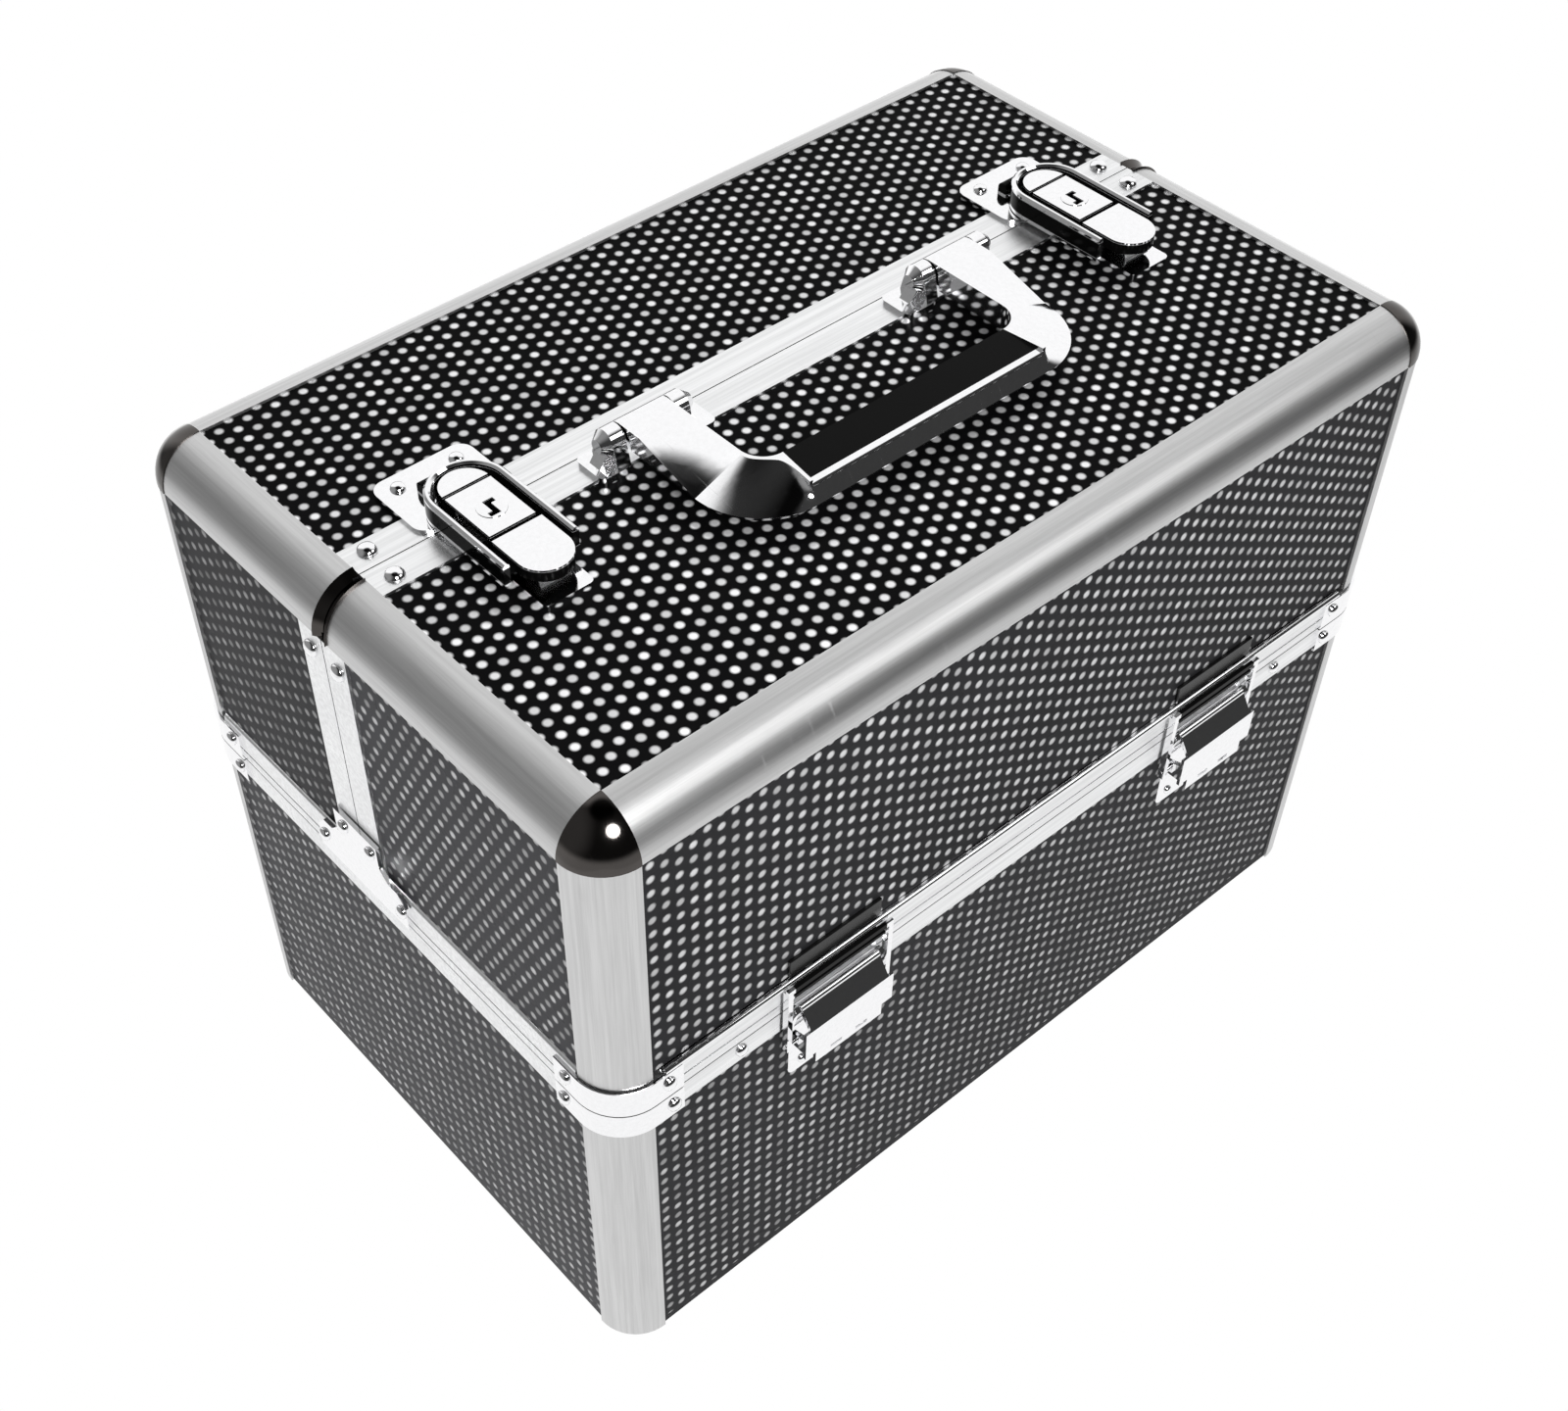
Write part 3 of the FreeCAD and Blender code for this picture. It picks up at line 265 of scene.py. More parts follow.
    @staticmethod
    def fill_grain(graph: Graph, source: bpy.types.Node, result: bpy.types.Node) -> None:
        """Fine drawing streaks and soft clouds.

        Args:
            graph: Tree to fill.
            source: Group input.
            result: Group output.
        """
        place = source.outputs["Vector"]
        scale = source.outputs["Scale"]
        wide = graph.math("MULTIPLY", scale, Effects.CLOUD_SHARE)
        streak = graph.add("ShaderNodeTexNoise",
                           {"Vector": place, "Scale": scale, "Detail": 4.0, "Roughness": 0.7})
        cloud = graph.add("ShaderNodeTexNoise",
                          {"Vector": place, "Scale": wide, "Detail": 3.0, "Roughness": 0.55})
        graph.put(result.inputs["Streak"], streak.outputs["Fac"])
        graph.put(result.inputs["Cloud"], cloud.outputs["Fac"])

    @staticmethod
    def fill_marks(graph: Graph, source: bpy.types.Node, result: bpy.types.Node) -> None:
        """Hairline scratches and faint smudges from handling.

        Args:
            graph: Tree to fill.
            source: Group input.
            result: Group output.
        """
        place = source.outputs["Vector"]
        lines = []
        for turn in Effects.SCRATCH_TURNS:
            angles = tuple(turn * share for share in Effects.SCRATCH_AXES)
            turned = graph.add("ShaderNodeMapping",
                               {"Vector": place, "Rotation": angles, "Scale": Effects.SCRATCH_SCALE})
            noise = graph.add("ShaderNodeTexNoise",
                              {"Vector": turned.outputs[0], "Scale": 1.0, "Detail": 1.0})
            lines.append(graph.ramp(noise.outputs["Fac"], *Effects.SCRATCH_EDGE))
        both = graph.math("MAXIMUM", *lines)
        smudge = graph.add("ShaderNodeTexNoise", {"Vector": place, "Scale": Effects.SMUDGE_SCALE,
                                                  "Detail": 3.0, "Roughness": 0.6}).outputs["Fac"]
        amount = source.outputs["Amount"]
        graph.put(result.inputs["Scratch"], graph.math("MULTIPLY", both, amount))
        graph.put(result.inputs["Smudge"], graph.math("MULTIPLY", smudge, amount))


class Finish:
    """A finish that builds its own material once."""

    name: str

    def material(self, effects: Effects) -> bpy.types.Material:
        """Makes the material or returns the one already made.

        Args:
            effects: Shared node groups.

        Returns:
            The material.
        """
        # The prefix keeps the name apart from the frame's own materials.
        label = "finish_" + self.name
        found = bpy.data.materials.get(label)
        if found is not None:
            return found
        made = bpy.data.materials.new(label)
        made.use_nodes = True
        tree = made.node_tree
        tree.nodes.clear()
        graph = Graph(tree)
        surface = graph.add("ShaderNodeBsdfPrincipled")
        output = graph.add("ShaderNodeOutputMaterial")
        tree.links.new(surface.outputs[0], output.inputs["Surface"])
        self.fill(graph, surface, effects)
        LOG.info("finish %s", self.name)
        return made

    def fill(self, graph: Graph, surface: bpy.types.Node, effects: Effects) -> None:
        """Adds the finish's own nodes.

        Args:
            graph: The material's tree.
            surface: Its Principled node.
            effects: Shared node groups.
        """
        raise NotImplementedError

    @staticmethod
    def group(graph: Graph, tree: bpy.types.ShaderNodeTree, sockets: dict) -> bpy.types.Node:
        """Adds one shared group to a material.

        Args:
            graph: The material's tree.
            tree: The group.
            sockets: Its inputs.

        Returns:
            The group node.
        """
        return graph.add("ShaderNodeGroup", sockets, node_tree=tree)


@dataclass(frozen=True)
class DottedLaminate(Finish):
    """Gloss black laminate with small raised silver dots.

    Attributes:
        name: Material name.
        plane: Direction the panel faces.
        pitch: Dot spacing, mm.
        radius: Dot radius, mm.
        ground: Grey level of the black ground, set per face: lighter on the fronts and ends as painted
            reflection.
        low: Darkest dot, set per face: lower on the fronts and ends as painted shade.
        high: Brightest dot, set per face: lower on the fronts and ends as painted shade.
        hem: Height of the plain lower edge over the ground, mm.

    LINING gives the two colours of the inner side, SMUDGED the lift of smudged ground, BLUE the cool cast
    of the ground and DOT_METAL the metal share of a dot.
    """

    LINING = ((0.006, 0.006, 0.007, 1.0), (0.03, 0.03, 0.032, 1.0))
    LINING_SCALE = 2600.0
    LINING_ROUGH = 0.5
    SMUDGED = 2.2
    BLUE = 1.08
    DOT_BLUE = 1.01
    DOT_METAL = 0.55
    DOT_ROUGH = 0.10
    DOT_TILT = (0.7, 1.2)
    ROUGH = (0.24, 0.34)
    SCRATCH_DEPTH = -0.04
    RELIEF = 0.00035
    SHINE = 0.015

    name: str
    plane: Plane
    pitch: float = 5.8
    radius: float = 1.3
    ground: float = 0.002
    low: float = 0.62
    high: float = 0.95
    hem: float = 6.5

    def fill(self, graph: Graph, surface: bpy.types.Node, effects: Effects) -> None:
        """See Finish.fill.

        Args:
            graph: The material's tree.
            surface: Its Principled node.
            effects: Shared node groups.
        """
        where = graph.add("ShaderNodeTexCoord").outputs
        place = where["Object"]
        axes = graph.add("ShaderNodeSeparateXYZ", {0: place}).outputs
        first, second, across = (axes[name] for name in self.plane.value)
        turned = graph.add("ShaderNodeSeparateXYZ", {0: where["Normal"]}).outputs[self.plane.value[2]]
        outside = graph.math("GREATER_THAN", graph.math("MULTIPLY", across, turned), 0.0)
        flat = graph.add("ShaderNodeCombineXYZ", {0: graph.math("MULTIPLY", first, 1.0 / MM),
                                                  1: graph.math("MULTIPLY", second, 1.0 / MM)})
        dots = self.group(graph, effects.dots, {"Vector": flat.outputs[0], "Pitch": self.pitch,
                                                "Radius": self.radius}).outputs
        marks = self.group(graph, effects.marks, {"Vector": place, "Amount": 1.0}).outputs
        weave = self.group(graph, effects.grain, {"Vector": place, "Scale": self.LINING_SCALE}).outputs
        dotted = graph.math("GREATER_THAN", axes["Z"], self.hem * MM)
        mask = graph.math("MULTIPLY", graph.math("MULTIPLY", dots["Mask"], outside), dotted)
        silver = graph.ramp(dots["Chance"], 0.0, 1.0, (self.low, self.high))
        dot = graph.add("ShaderNodeCombineColor", {0: silver, 1: silver,
                                                   2: graph.math("MULTIPLY", silver, self.DOT_BLUE)})
        cool = (self.ground, self.ground, self.ground * self.BLUE)
        smudged = tuple(c * self.SMUDGED for c in cool)
        skin = graph.mix(marks["Smudge"], cool + (1.0,), smudged + (1.0,))
        ground = graph.mix(outside, graph.mix(weave["Streak"], *self.LINING), skin)
        graph.put(surface.inputs["Base Color"], graph.mix(mask, ground, dot.outputs[0]))
        graph.put(surface.inputs["Metallic"], graph.math("MULTIPLY", mask, self.DOT_METAL))
        rough = graph.ramp(marks["Smudge"], *NOISE_BAND, self.ROUGH)
        rough = graph.math("ADD", rough, graph.math("MULTIPLY", mask, self.DOT_ROUGH))
        inner = graph.ramp(outside, 1.0, 0.0, (0.0, self.LINING_ROUGH))
        graph.put(surface.inputs["Roughness"], graph.math("ADD", rough, inner))
        tilt = graph.math("MULTIPLY", graph.math("MULTIPLY", dots["Dome"], outside),
                          graph.ramp(dots["Chance"], 0.0, 1.0, self.DOT_TILT))
        height = graph.math("ADD", tilt, graph.math("MULTIPLY", marks["Scratch"], self.SCRATCH_DEPTH))
        bump = graph.add("ShaderNodeBump", {"Height": height, "Strength": 0.55, "Distance": self.RELIEF})
        graph.put(surface.inputs["Normal"], bump.outputs[0])
        graph.put(surface.inputs["Specular IOR Level"], self.SHINE)


@dataclass(frozen=True)
class DrawnMetal(Finish):
    """Satin or bright metal with drawing streaks along one axis.

    Attributes:
        name: Material name.
        colour: Base colour.
        rough: Middle roughness.
        stretch: Streak density along x, y and z, per metre.
        streak: Strength of the streaks.
        marks: Amount of handling marks.
        dark: Heights over the walls' lower edge between which the piece is painted black as painted shade and
            dark reflection, mm.
        shaded_stretch: Place from the middle and half length of a stretch along x painted black as painted
            shade, mm.

    PAINTED_SHADE_BLACK and BLACK_SHINE are the colour and gloss of the places painted black as painted shade
    and dark reflection, FADE the width of a band's edge in mm and SPREAD the lowest and highest share of the
    roughness.
    """

    PAINTED_SHADE_BLACK = (0.003, 0.003, 0.003, 1.0)
    BLACK_SHINE = 0.05
    FADE = 0.4
    SPREAD = (0.85, 1.2)
    GRAIN_SCALE = 600.0
    SCRATCH_ROUGH = 0.12
    SCRATCH_DEPTH = 0.6
    BUMP_PER_STREAK = 0.25 / 0.12
    RELIEF = 0.00003

    name: str
    colour: tuple[float, float, float]
    rough: float
    stretch: tuple[float, float, float] = (1.0, 1.0, 1.0)
    streak: float = 0.12
    marks: float = 0.6
    dark: tuple[float, float] = (0.0, 0.0)
    shaded_stretch: tuple[float, float] = (0.0, 0.0)

    def fill(self, graph: Graph, surface: bpy.types.Node, effects: Effects) -> None:
        """See Finish.fill.

        Args:
            graph: The material's tree.
            surface: Its Principled node.
            effects: Shared node groups.
        """
        place = graph.add("ShaderNodeTexCoord").outputs["Object"]
        drawn = graph.add("ShaderNodeMapping", {"Vector": place, "Scale": self.stretch}).outputs[0]
        grain = self.group(graph, effects.grain, {"Vector": drawn, "Scale": self.GRAIN_SCALE}).outputs
        marks = self.group(graph, effects.marks, {"Vector": place, "Amount": self.marks}).outputs
        deep = tuple(c * (1.0 - self.streak) for c in self.colour) + (1.0,)
        light = tuple(min(1.0, c * (1.0 + 0.5 * self.streak)) for c in self.colour) + (1.0,)
        tone = graph.mix(graph.ramp(grain["Streak"], *NOISE_BAND), deep, light)
        unshaded: object = 1.0
        # Painted shade and dark reflection: black bands and stretches painted on the chrome.
        if self.dark[1] > 0.0 or self.shaded_stretch[1] > 0.0:
            unshaded = self.unshaded(graph, place)
            tone = graph.mix(unshaded, self.PAINTED_SHADE_BLACK, tone)
        graph.put(surface.inputs["Base Color"], tone)
        graph.put(surface.inputs["Metallic"], unshaded)
        graph.put(surface.inputs["Specular IOR Level"], self.BLACK_SHINE)
        spread = graph.ramp(grain["Cloud"], *NOISE_BAND, tuple(self.rough * share for share in self.SPREAD))
        worn = graph.math("MULTIPLY", marks["Scratch"], self.SCRATCH_ROUGH)
        graph.put(surface.inputs["Roughness"], graph.math("ADD", spread, worn))
        cut = graph.math("MULTIPLY", marks["Scratch"], self.SCRATCH_DEPTH)
        bump = graph.add("ShaderNodeBump", {"Height": graph.math("SUBTRACT", grain["Streak"], cut),
                                            "Strength": self.BUMP_PER_STREAK * self.streak,
                                            "Distance": self.RELIEF})
        graph.put(surface.inputs["Normal"], bump.outputs[0])

    def unshaded(self, graph: Graph, place: bpy.types.NodeSocket) -> bpy.types.NodeSocket:
        """Share of unpainted metal, 0 where the piece is painted black as painted shade.

        Args:
            graph: The material's tree.
            place: Object coordinates.

        Returns:
            The share.
        """
        axes = graph.add("ShaderNodeSeparateXYZ", {0: place}).outputs
        if self.shaded_stretch[1] > 0.0:
            aside = graph.math("SUBTRACT", graph.math("ABSOLUTE", axes["X"]), self.shaded_stretch[0] * MM)
            return graph.math("GREATER_THAN", graph.math("ABSOLUTE", aside), self.shaded_stretch[1] * MM)
        low, high = ((z + FOOT) * MM for z in self.dark)
        fade = self.FADE * MM
        under = graph.ramp(axes["Z"], low, low + fade)
        over = graph.ramp(axes["Z"], high, high - fade)
        return graph.math("SUBTRACT", 1.0, graph.math("MULTIPLY", under, over))


@dataclass(frozen=True)
class Moulded(Finish):
    """Black moulded or sheet plastic with a fine surface texture.

    Attributes:
        name: Material name.
        colour: Base colour.
        rough: Middle roughness.
        scale: Texture scale, per metre.
        relief: Height of the texture, metres.
        shine: Specular level.

    TONES gives the darkest and lightest share of the colour, SPREAD that of the roughness, MARKS the amount
    of handling marks and SMUDGES the range of their smudges.
    """

    TONES = (0.8, 1.3)
    SPREAD = (0.85, 1.15)
    MARKS = 0.7
    SMUDGES = (0.2, 0.6)

    name: str
    colour: tuple[float, float, float]
    rough: float
    scale: float = 1400.0
    relief: float = 0.00008
    shine: float = 0.5

    def fill(self, graph: Graph, surface: bpy.types.Node, effects: Effects) -> None:
        """See Finish.fill.

        Args:
            graph: The material's tree.
            surface: Its Principled node.
            effects: Shared node groups.
        """
        place = graph.add("ShaderNodeTexCoord").outputs["Object"]
        grain = self.group(graph, effects.grain, {"Vector": place, "Scale": self.scale})
        marks = self.group(graph, effects.marks, {"Vector": place, "Amount": self.MARKS})
        deep, light = (tuple(c * share for c in self.colour) + (1.0,) for share in self.TONES)
        graph.put(surface.inputs["Base Color"], graph.mix(grain.outputs["Cloud"], deep, light))
        spread = tuple(self.rough * share for share in self.SPREAD)
        graph.put(surface.inputs["Roughness"], graph.ramp(marks.outputs["Smudge"], *self.SMUDGES, spread))
        bump = graph.add("ShaderNodeBump", {"Height": grain.outputs["Streak"], "Strength": 0.5,
                                            "Distance": self.relief})
        graph.put(surface.inputs["Normal"], bump.outputs[0])
        graph.put(surface.inputs["Specular IOR Level"], self.shine)


class Finishes:
    """All finishes of the case."""

    ALONG_X = (0.02, 1.0, 1.0)
    ALONG_Y = (1.0, 0.02, 1.0)
    ALONG_Z = (1.0, 1.0, 0.02)
    ALUMINIUM = (0.86, 0.865, 0.87)
    SATIN = (0.64, 0.64, 0.64)
    CHROME = (0.92, 0.92, 0.93)
    BLACK_CHROME = (0.085, 0.078, 0.074)
    NICKEL = (0.66, 0.66, 0.67)
    MIRROR = {"colour": CHROME, "rough": 0.07, "streak": 0.03}

    # One laminate in lit and shaded copies: ground grey and dot range differ by face as painted light and
    # shade, a lighter ground as painted reflection and darker dots as painted shade on the fronts and ends.
    top = DottedLaminate("laminate_top", Plane.TOP, 5.92, 1.36)
    lid_front = DottedLaminate("laminate_lid_front", Plane.FRONT, ground=0.014, low=0.44, high=0.68)
    front = DottedLaminate("laminate_front", Plane.FRONT, ground=0.019, low=0.28, high=0.6)
    end = DottedLaminate("laminate_end", Plane.END, ground=0.060, low=0.30, high=0.64)
    lid_end = DottedLaminate("laminate_lid_end", Plane.END, ground=0.030, low=0.16, high=0.38)
    end_turned = DottedLaminate("laminate_end_turned", Plane.END_TURNED, ground=0.055, low=0.30, high=0.68)
    trim_x = DrawnMetal("bright_trim_x", ALUMINIUM, 0.30, ALONG_X)
    edge_x = DrawnMetal("satin_edge_x", SATIN, 0.38, ALONG_X)
    edge_y = DrawnMetal("satin_edge_y", SATIN, 0.38, ALONG_Y)
    edge_z = DrawnMetal("satin_edge_z", SATIN, 0.38, ALONG_Z)
    chrome = DrawnMetal("bright_chrome", **MIRROR, marks=0.8)
    dark_chrome = DrawnMetal("black_chrome", BLACK_CHROME, 0.10, streak=0.03)
    # Painted shade: the key plug is painted black below its top face.
    keyed = DrawnMetal("keyed_chrome_painted_shade", **MIRROR, dark=(TOP, TOP + 9.3))
    # Painted dark reflection: the lock bases' sides and the hasps' walls are painted black in a band.
    lock_body = DrawnMetal("chrome_painted_dark_sides", **MIRROR, dark=(TOP + 1.5, TOP + 8.7))
    hoop = DrawnMetal("chrome_painted_dark_walls", **MIRROR, dark=(TOP + 2.6, TOP + 8.7))
    # Painted shade: the claws are painted black over the middle of each latch.
    barred = DrawnMetal("chrome_painted_shade_middle", **MIRROR, shaded_stretch=(90.0, 19.5))
    steel = DrawnMetal("plated_steel", NICKEL, 0.26, streak=0.06)
    board = Moulded("black_board", (0.022, 0.022, 0.022), 0.6, 900.0)
    foam = Moulded("black_foam", (0.02, 0.02, 0.021), 0.85, 1800.0, 0.0002)
    tray = Moulded("black_tray", (0.025, 0.025, 0.027), 0.45)
    grip = Moulded("grip_black", (0.002, 0.002, 0.002), 0.3, 700.0, 0.00002, 0.05)
    # Black for the strike plates; painted dark reflection on the catches.
    lacquer_and_dark_reflection = Moulded("black_lacquer_and_painted_dark_reflection", (0.005, 0.005, 0.005), 0.25, 700.0, 0.00002, 0.25)
    rubber = Moulded("foot_rubber", (0.03, 0.03, 0.03), 0.8)


@dataclass
class Workshop:
    """What every sub-assembly needs to be dressed.

    Attributes:
        nodes: CAD nodes by name.
        effects: Shared shader groups.
    """

    nodes: dict[str, bpy.types.Object]
    effects: Effects

    def paint(self, finish: Finish, names: Iterable[str]) -> None:
        """Gives CAD nodes a finish.

        Args:
            finish: The finish.
            names: Node names.
        """
        for name in names:
            mesh = self.nodes[name].data
            mesh.materials.clear()
            mesh.materials.append(finish.material(self.effects))
            LOG.info("painted %s with %s", name, finish.name)

    def piece(self, name: str, mesh: bmesh.types.BMesh, finish: Finish, body: str) -> None:
        """Makes a visual piece that rides on a body.

        Args:
            name: Piece name.
            mesh: Its shape, freed here.
            finish: Its finish.
            body: CAD body it moves with.
        """
        data = bpy.data.meshes.new(name)
        mesh.to_mesh(data)
        mesh.free()
        data.materials.append(finish.material(self.effects))
        made = bpy.data.objects.new(name, data)
        bpy.context.scene.collection.objects.link(made)
        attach(made, body)
        LOG.info("made %s on %s", name, body)


@dataclass(frozen=True)
class Rivet:
    """Domed rivet head.

    Attributes:
        place: Centre of the foot on the surface.
        facing: Outward direction.
        radius: Foot radius, mm.

    OUTLINE gives the shares of the radius that each ring lies outward and upward, COUNT the points of a ring.
    """

    OUTLINE = ((1.0, 0.0), (0.97, 0.15), (0.87, 0.34), (0.68, 0.51), (0.37, 0.63), (0.0, 0.67))
    COUNT = 20

    place: Vector
    facing: Vector
    radius: float

    def add_to(self, mesh: bmesh.types.BMesh) -> None:
        """Turns the head's outline into the mesh.

        Args:
            mesh: Mesh that gets the head.
        """
        r = self.radius * MM
        turn = UP.rotation_difference(self.facing).to_matrix().to_4x4()
        matrix = Matrix.Translation(self.place) @ turn
        angles = [2.0 * math.pi * i / self.COUNT for i in range(self.COUNT)]
        rings = []
        for share, lift in self.OUTLINE[:-1]:
            wide = share * r
            points = [Vector((wide * math.cos(a), wide * math.sin(a), lift * r)) for a in angles]
            rings.append([mesh.verts.new(matrix @ point) for point in points])
        tip = mesh.verts.new(matrix @ Vector((0, 0, self.OUTLINE[-1][1] * r)))
        for lower, upper in zip(rings, rings[1:]):
            for i in range(self.COUNT):
                j = (i + 1) % self.COUNT
                mesh.faces.new((lower[i], lower[j], upper[j], upper[i])).smooth = True
        for i in range(self.COUNT):
            mesh.faces.new((rings[-1][i], rings[-1][(i + 1) % self.COUNT], tip)).smooth = True
        mesh.faces.new(list(reversed(rings[0])))


def rivet_mesh(rivets: Sequence[Rivet]) -> bmesh.types.BMesh:
    """One mesh holding many rivets.

    Args:
        rivets: The rivets.

    Returns:
        The mesh.
    """
    mesh = bmesh.new()
    for rivet in rivets:
        rivet.add_to(mesh)
    return mesh


def corner_rivets(inset: float, z: float) -> list[Rivet]:
    """Rivets of the four corner brackets of one ring.

    Args:
        inset: Distance from the outer corner, mm.
        z: Height, mm.

    Returns:
        Two rivets for each corner.
    """
    thick, radius = 1.0, 2.6
    rivets = []
    for sx in SIDES:
        for sy in SIDES:
            rivets.append(Rivet(spot(sx * (HALF_X - inset), sy * (HALF_Y + thick), z), FRONT * -sy, radius))
            rivets.append(Rivet(spot(sx * (HALF_X + thick), sy * (HALF_Y - inset), z), LEFT * -sx, radius))
    return rivets


@dataclass
class LowerBox:
    """Fixed box under the seam.

    Attributes:
        bracket_rivet: Distance of the bracket rivets from the corner, mm.
        rivet_z: Their height, mm.
        rim_rivet: Place from the middle, height and radius of the rivets through the rim, mm.
        hinge: Place from the middle and leaf thickness of the rear hinges, mm.
        hinge_rivet: Distance from the hinge's middle, height and radius of its rivets, mm.
    """

    bracket_rivet: float = 23.0
    rivet_z: float = 132.6
    rim_rivet: tuple[float, float, float] = (129.0, 134.0, 2.4)
    hinge: tuple[float, float] = (110.0, 1.2)
    hinge_rivet: tuple[float, float, float] = (14.0, 124.0, 2.2)

    def dress(self, shop: Workshop) -> None:
        """Paints the box and adds its rivets.

        Args:
            shop: Shared tools.
        """
        look = Finishes
        shop.paint(look.front, ("lower_front_panel", "lower_rear_panel"))
        shop.paint(look.end, ("lower_left_panel", "lower_right_panel"))
        shop.paint(look.edge_z, ("lower_posts",))
        shop.paint(look.trim_x, ("lower_rim",))
        shop.paint(look.chrome, ("lower_brackets",))
        shop.paint(look.board, ("bottom_panel",))
        shop.paint(look.foam, ("floor_pad",))
        shop.paint(look.rubber, ("feet",))
        shop.paint(look.steel, ("rear_hinge_lower",))
        rivets = corner_rivets(self.bracket_rivet, self.rivet_z)
        x, z, radius = self.rim_rivet
        rivets += [Rivet(spot(sx * x, sy * HALF_Y, z), FRONT * -sy, radius) for sx in SIDES for sy in SIDES]
        x, leaf = self.hinge
        aside, z, radius = self.hinge_rivet
        rivets += [Rivet(spot(sx * x + side * aside, HALF_Y + leaf, z), FRONT * -1.0, radius)
                   for sx in SIDES for side in SIDES]
        shop.piece("lower_rivets", rivet_mesh(rivets), look.chrome, "lower_box")


@dataclass
class Deck:
    """Tilting ring with its floor, end plates and hinges.

    Attributes:
        bracket_rivet: Distance of the bracket rivets from the corner, mm.
        rivet_z: Their height, mm.
        plate: How far the end plates stand out and the radius of their rivets, mm.
        plate_rivets: Place from the split and height of each of those rivets, mm.
    """

    bracket_rivet: float = 21.5
    rivet_z: float = 145.2
    plate: tuple[float, float] = (1.8, 2.6)
    plate_rivets: tuple[tuple[float, float], ...] = ((-22.0, 147.0), (22.0, 147.0),
                                                     (-7.5, 163.0), (7.5, 163.0))

    def dress(self, shop: Workshop) -> None:
        """Paints the deck and adds its rivets.

        Args:
            shop: Shared tools.
        """
        look = Finishes
        shop.paint(look.trim_x, ("deck_rim",))
        shop.paint(look.board, ("deck_floor",))
        shop.paint(look.chrome, ("deck_brackets", "arm_plates", "lid_hinges"))
        # Painted dark reflection: the catches are painted black for the dark recess behind the claws.
        shop.paint(look.lacquer_and_dark_reflection, ("toggle_catches",))
        shop.paint(look.steel, ("rear_hinge_upper", "arm_uprights"))
        rivets = corner_rivets(self.bracket_rivet, self.rivet_z)
        out, radius = self.plate
        rivets += [Rivet(spot(sx * (HALF_X + out), SPLIT + dy, z), LEFT * -sx, radius)
                   for sx in SIDES for dy, z in self.plate_rivets]
        shop.piece("deck_rivets", rivet_mesh(rivets), look.chrome, "deck")


@dataclass
class LidHalf:
    """One half of the split lid.

    Attributes:
        name: Node prefix, front or rear.
        side: -1 for the front half, 1 for the rear half.
        strip: Distance of the strip rivets from the split, mm.
        top_rivet: Place from the middle and radius of those on the top, mm.
        end_rivet: Height and radius of those on the ends, mm.
    """

    name: str
    side: int
    strip: float = 7.0
    top_rivet: tuple[float, float] = (156.5, 3.3)
    end_rivet: tuple[float, float] = (242.0, 3.1)

    def dress(self, shop: Workshop) -> None:
        """Paints the half and adds its strip rivets.

        Args:
            shop: Shared tools.
        """
        look = Finishes
        label = self.name + "_"
        shop.paint(look.top, (label + "lid_top",))
        shop.paint(look.lid_front, (label + "lid_wall",))
        shop.paint(look.end_turned if self.side < 0 else look.lid_end, (label + "lid_ends",))
        shop.paint(look.trim_x, (label + "split_strips",))
        shop.paint(look.edge_x, (label + "edge",))
        shop.paint(look.edge_y, (label + "end_edges",))
        shop.paint(look.edge_z, (label + "posts",))
        shop.paint(look.dark_chrome, (label + "corner_castings",))
        shop.paint(look.chrome, (label + "hinge_leaf",))
        shop.paint(look.tray, (label + "tray_bosses", label + "tray_upper", label + "tray_lower"))
        shop.paint(look.steel, (label + "arms",))
        y = SPLIT + self.side * self.strip
        x, top_radius = self.top_rivet
        z, end_radius = self.end_rivet
        rivets = []
        for sx in SIDES:
            rivets.append(Rivet(spot(sx * x, y, TOP), UP, top_radius))
            rivets.append(Rivet(spot(sx * HALF_X, y, z), LEFT * -sx, end_radius))
        shop.piece(label + "strip_rivets", rivet_mesh(rivets), look.chrome, label + "lid")


@dataclass
class Handle:
    """Folding handle with its brackets.

    Attributes:
        ridge: Front edge of the grip insert: half length, y and z, mm.
        bead: Outline of the bright bead over that edge: y and z from the edge, mm.
    """

    ridge: tuple[float, float, float] = (48.6, -54.0, 277.8)
    bead: tuple[tuple[float, float], ...] = ((2.3, 0.1), (2.0, 0.5), (-0.1, 0.3),
                                             (-0.5, -0.5), (-0.4, -1.0), (0.6, -0.8))

    def bead_mesh(self) -> bmesh.types.BMesh:
        """Bead drawn along the front edge of the grip.

        Returns:
            The mesh.
        """
        mesh = bmesh.new()
        half, y, z = self.ridge
        ends = [[mesh.verts.new(spot(sx * half, y + dy, z + dz)) for dy, dz in self.bead] for sx in SIDES]
        mesh.faces.new(ends[0])
        mesh.faces.new(list(reversed(ends[1])))
        for i in range(len(self.bead)):
            j = (i + 1) % len(self.bead)
            mesh.faces.new((ends[0][j], ends[0][i], ends[1][i], ends[1][j]))
        bmesh.ops.recalc_face_normals(mesh, faces=mesh.faces)
        return mesh

    def dress(self, shop: Workshop) -> None:
        """Paints the handle and adds its bead.

        Args:
            shop: Shared tools.
        """
        look = Finishes
        shop.paint(look.chrome, ("handle_bow", "handle_brackets"))
        shop.paint(look.grip, ("handle_grip",))
        shop.piece("grip_bead", self.bead_mesh(), look.chrome, "handle")


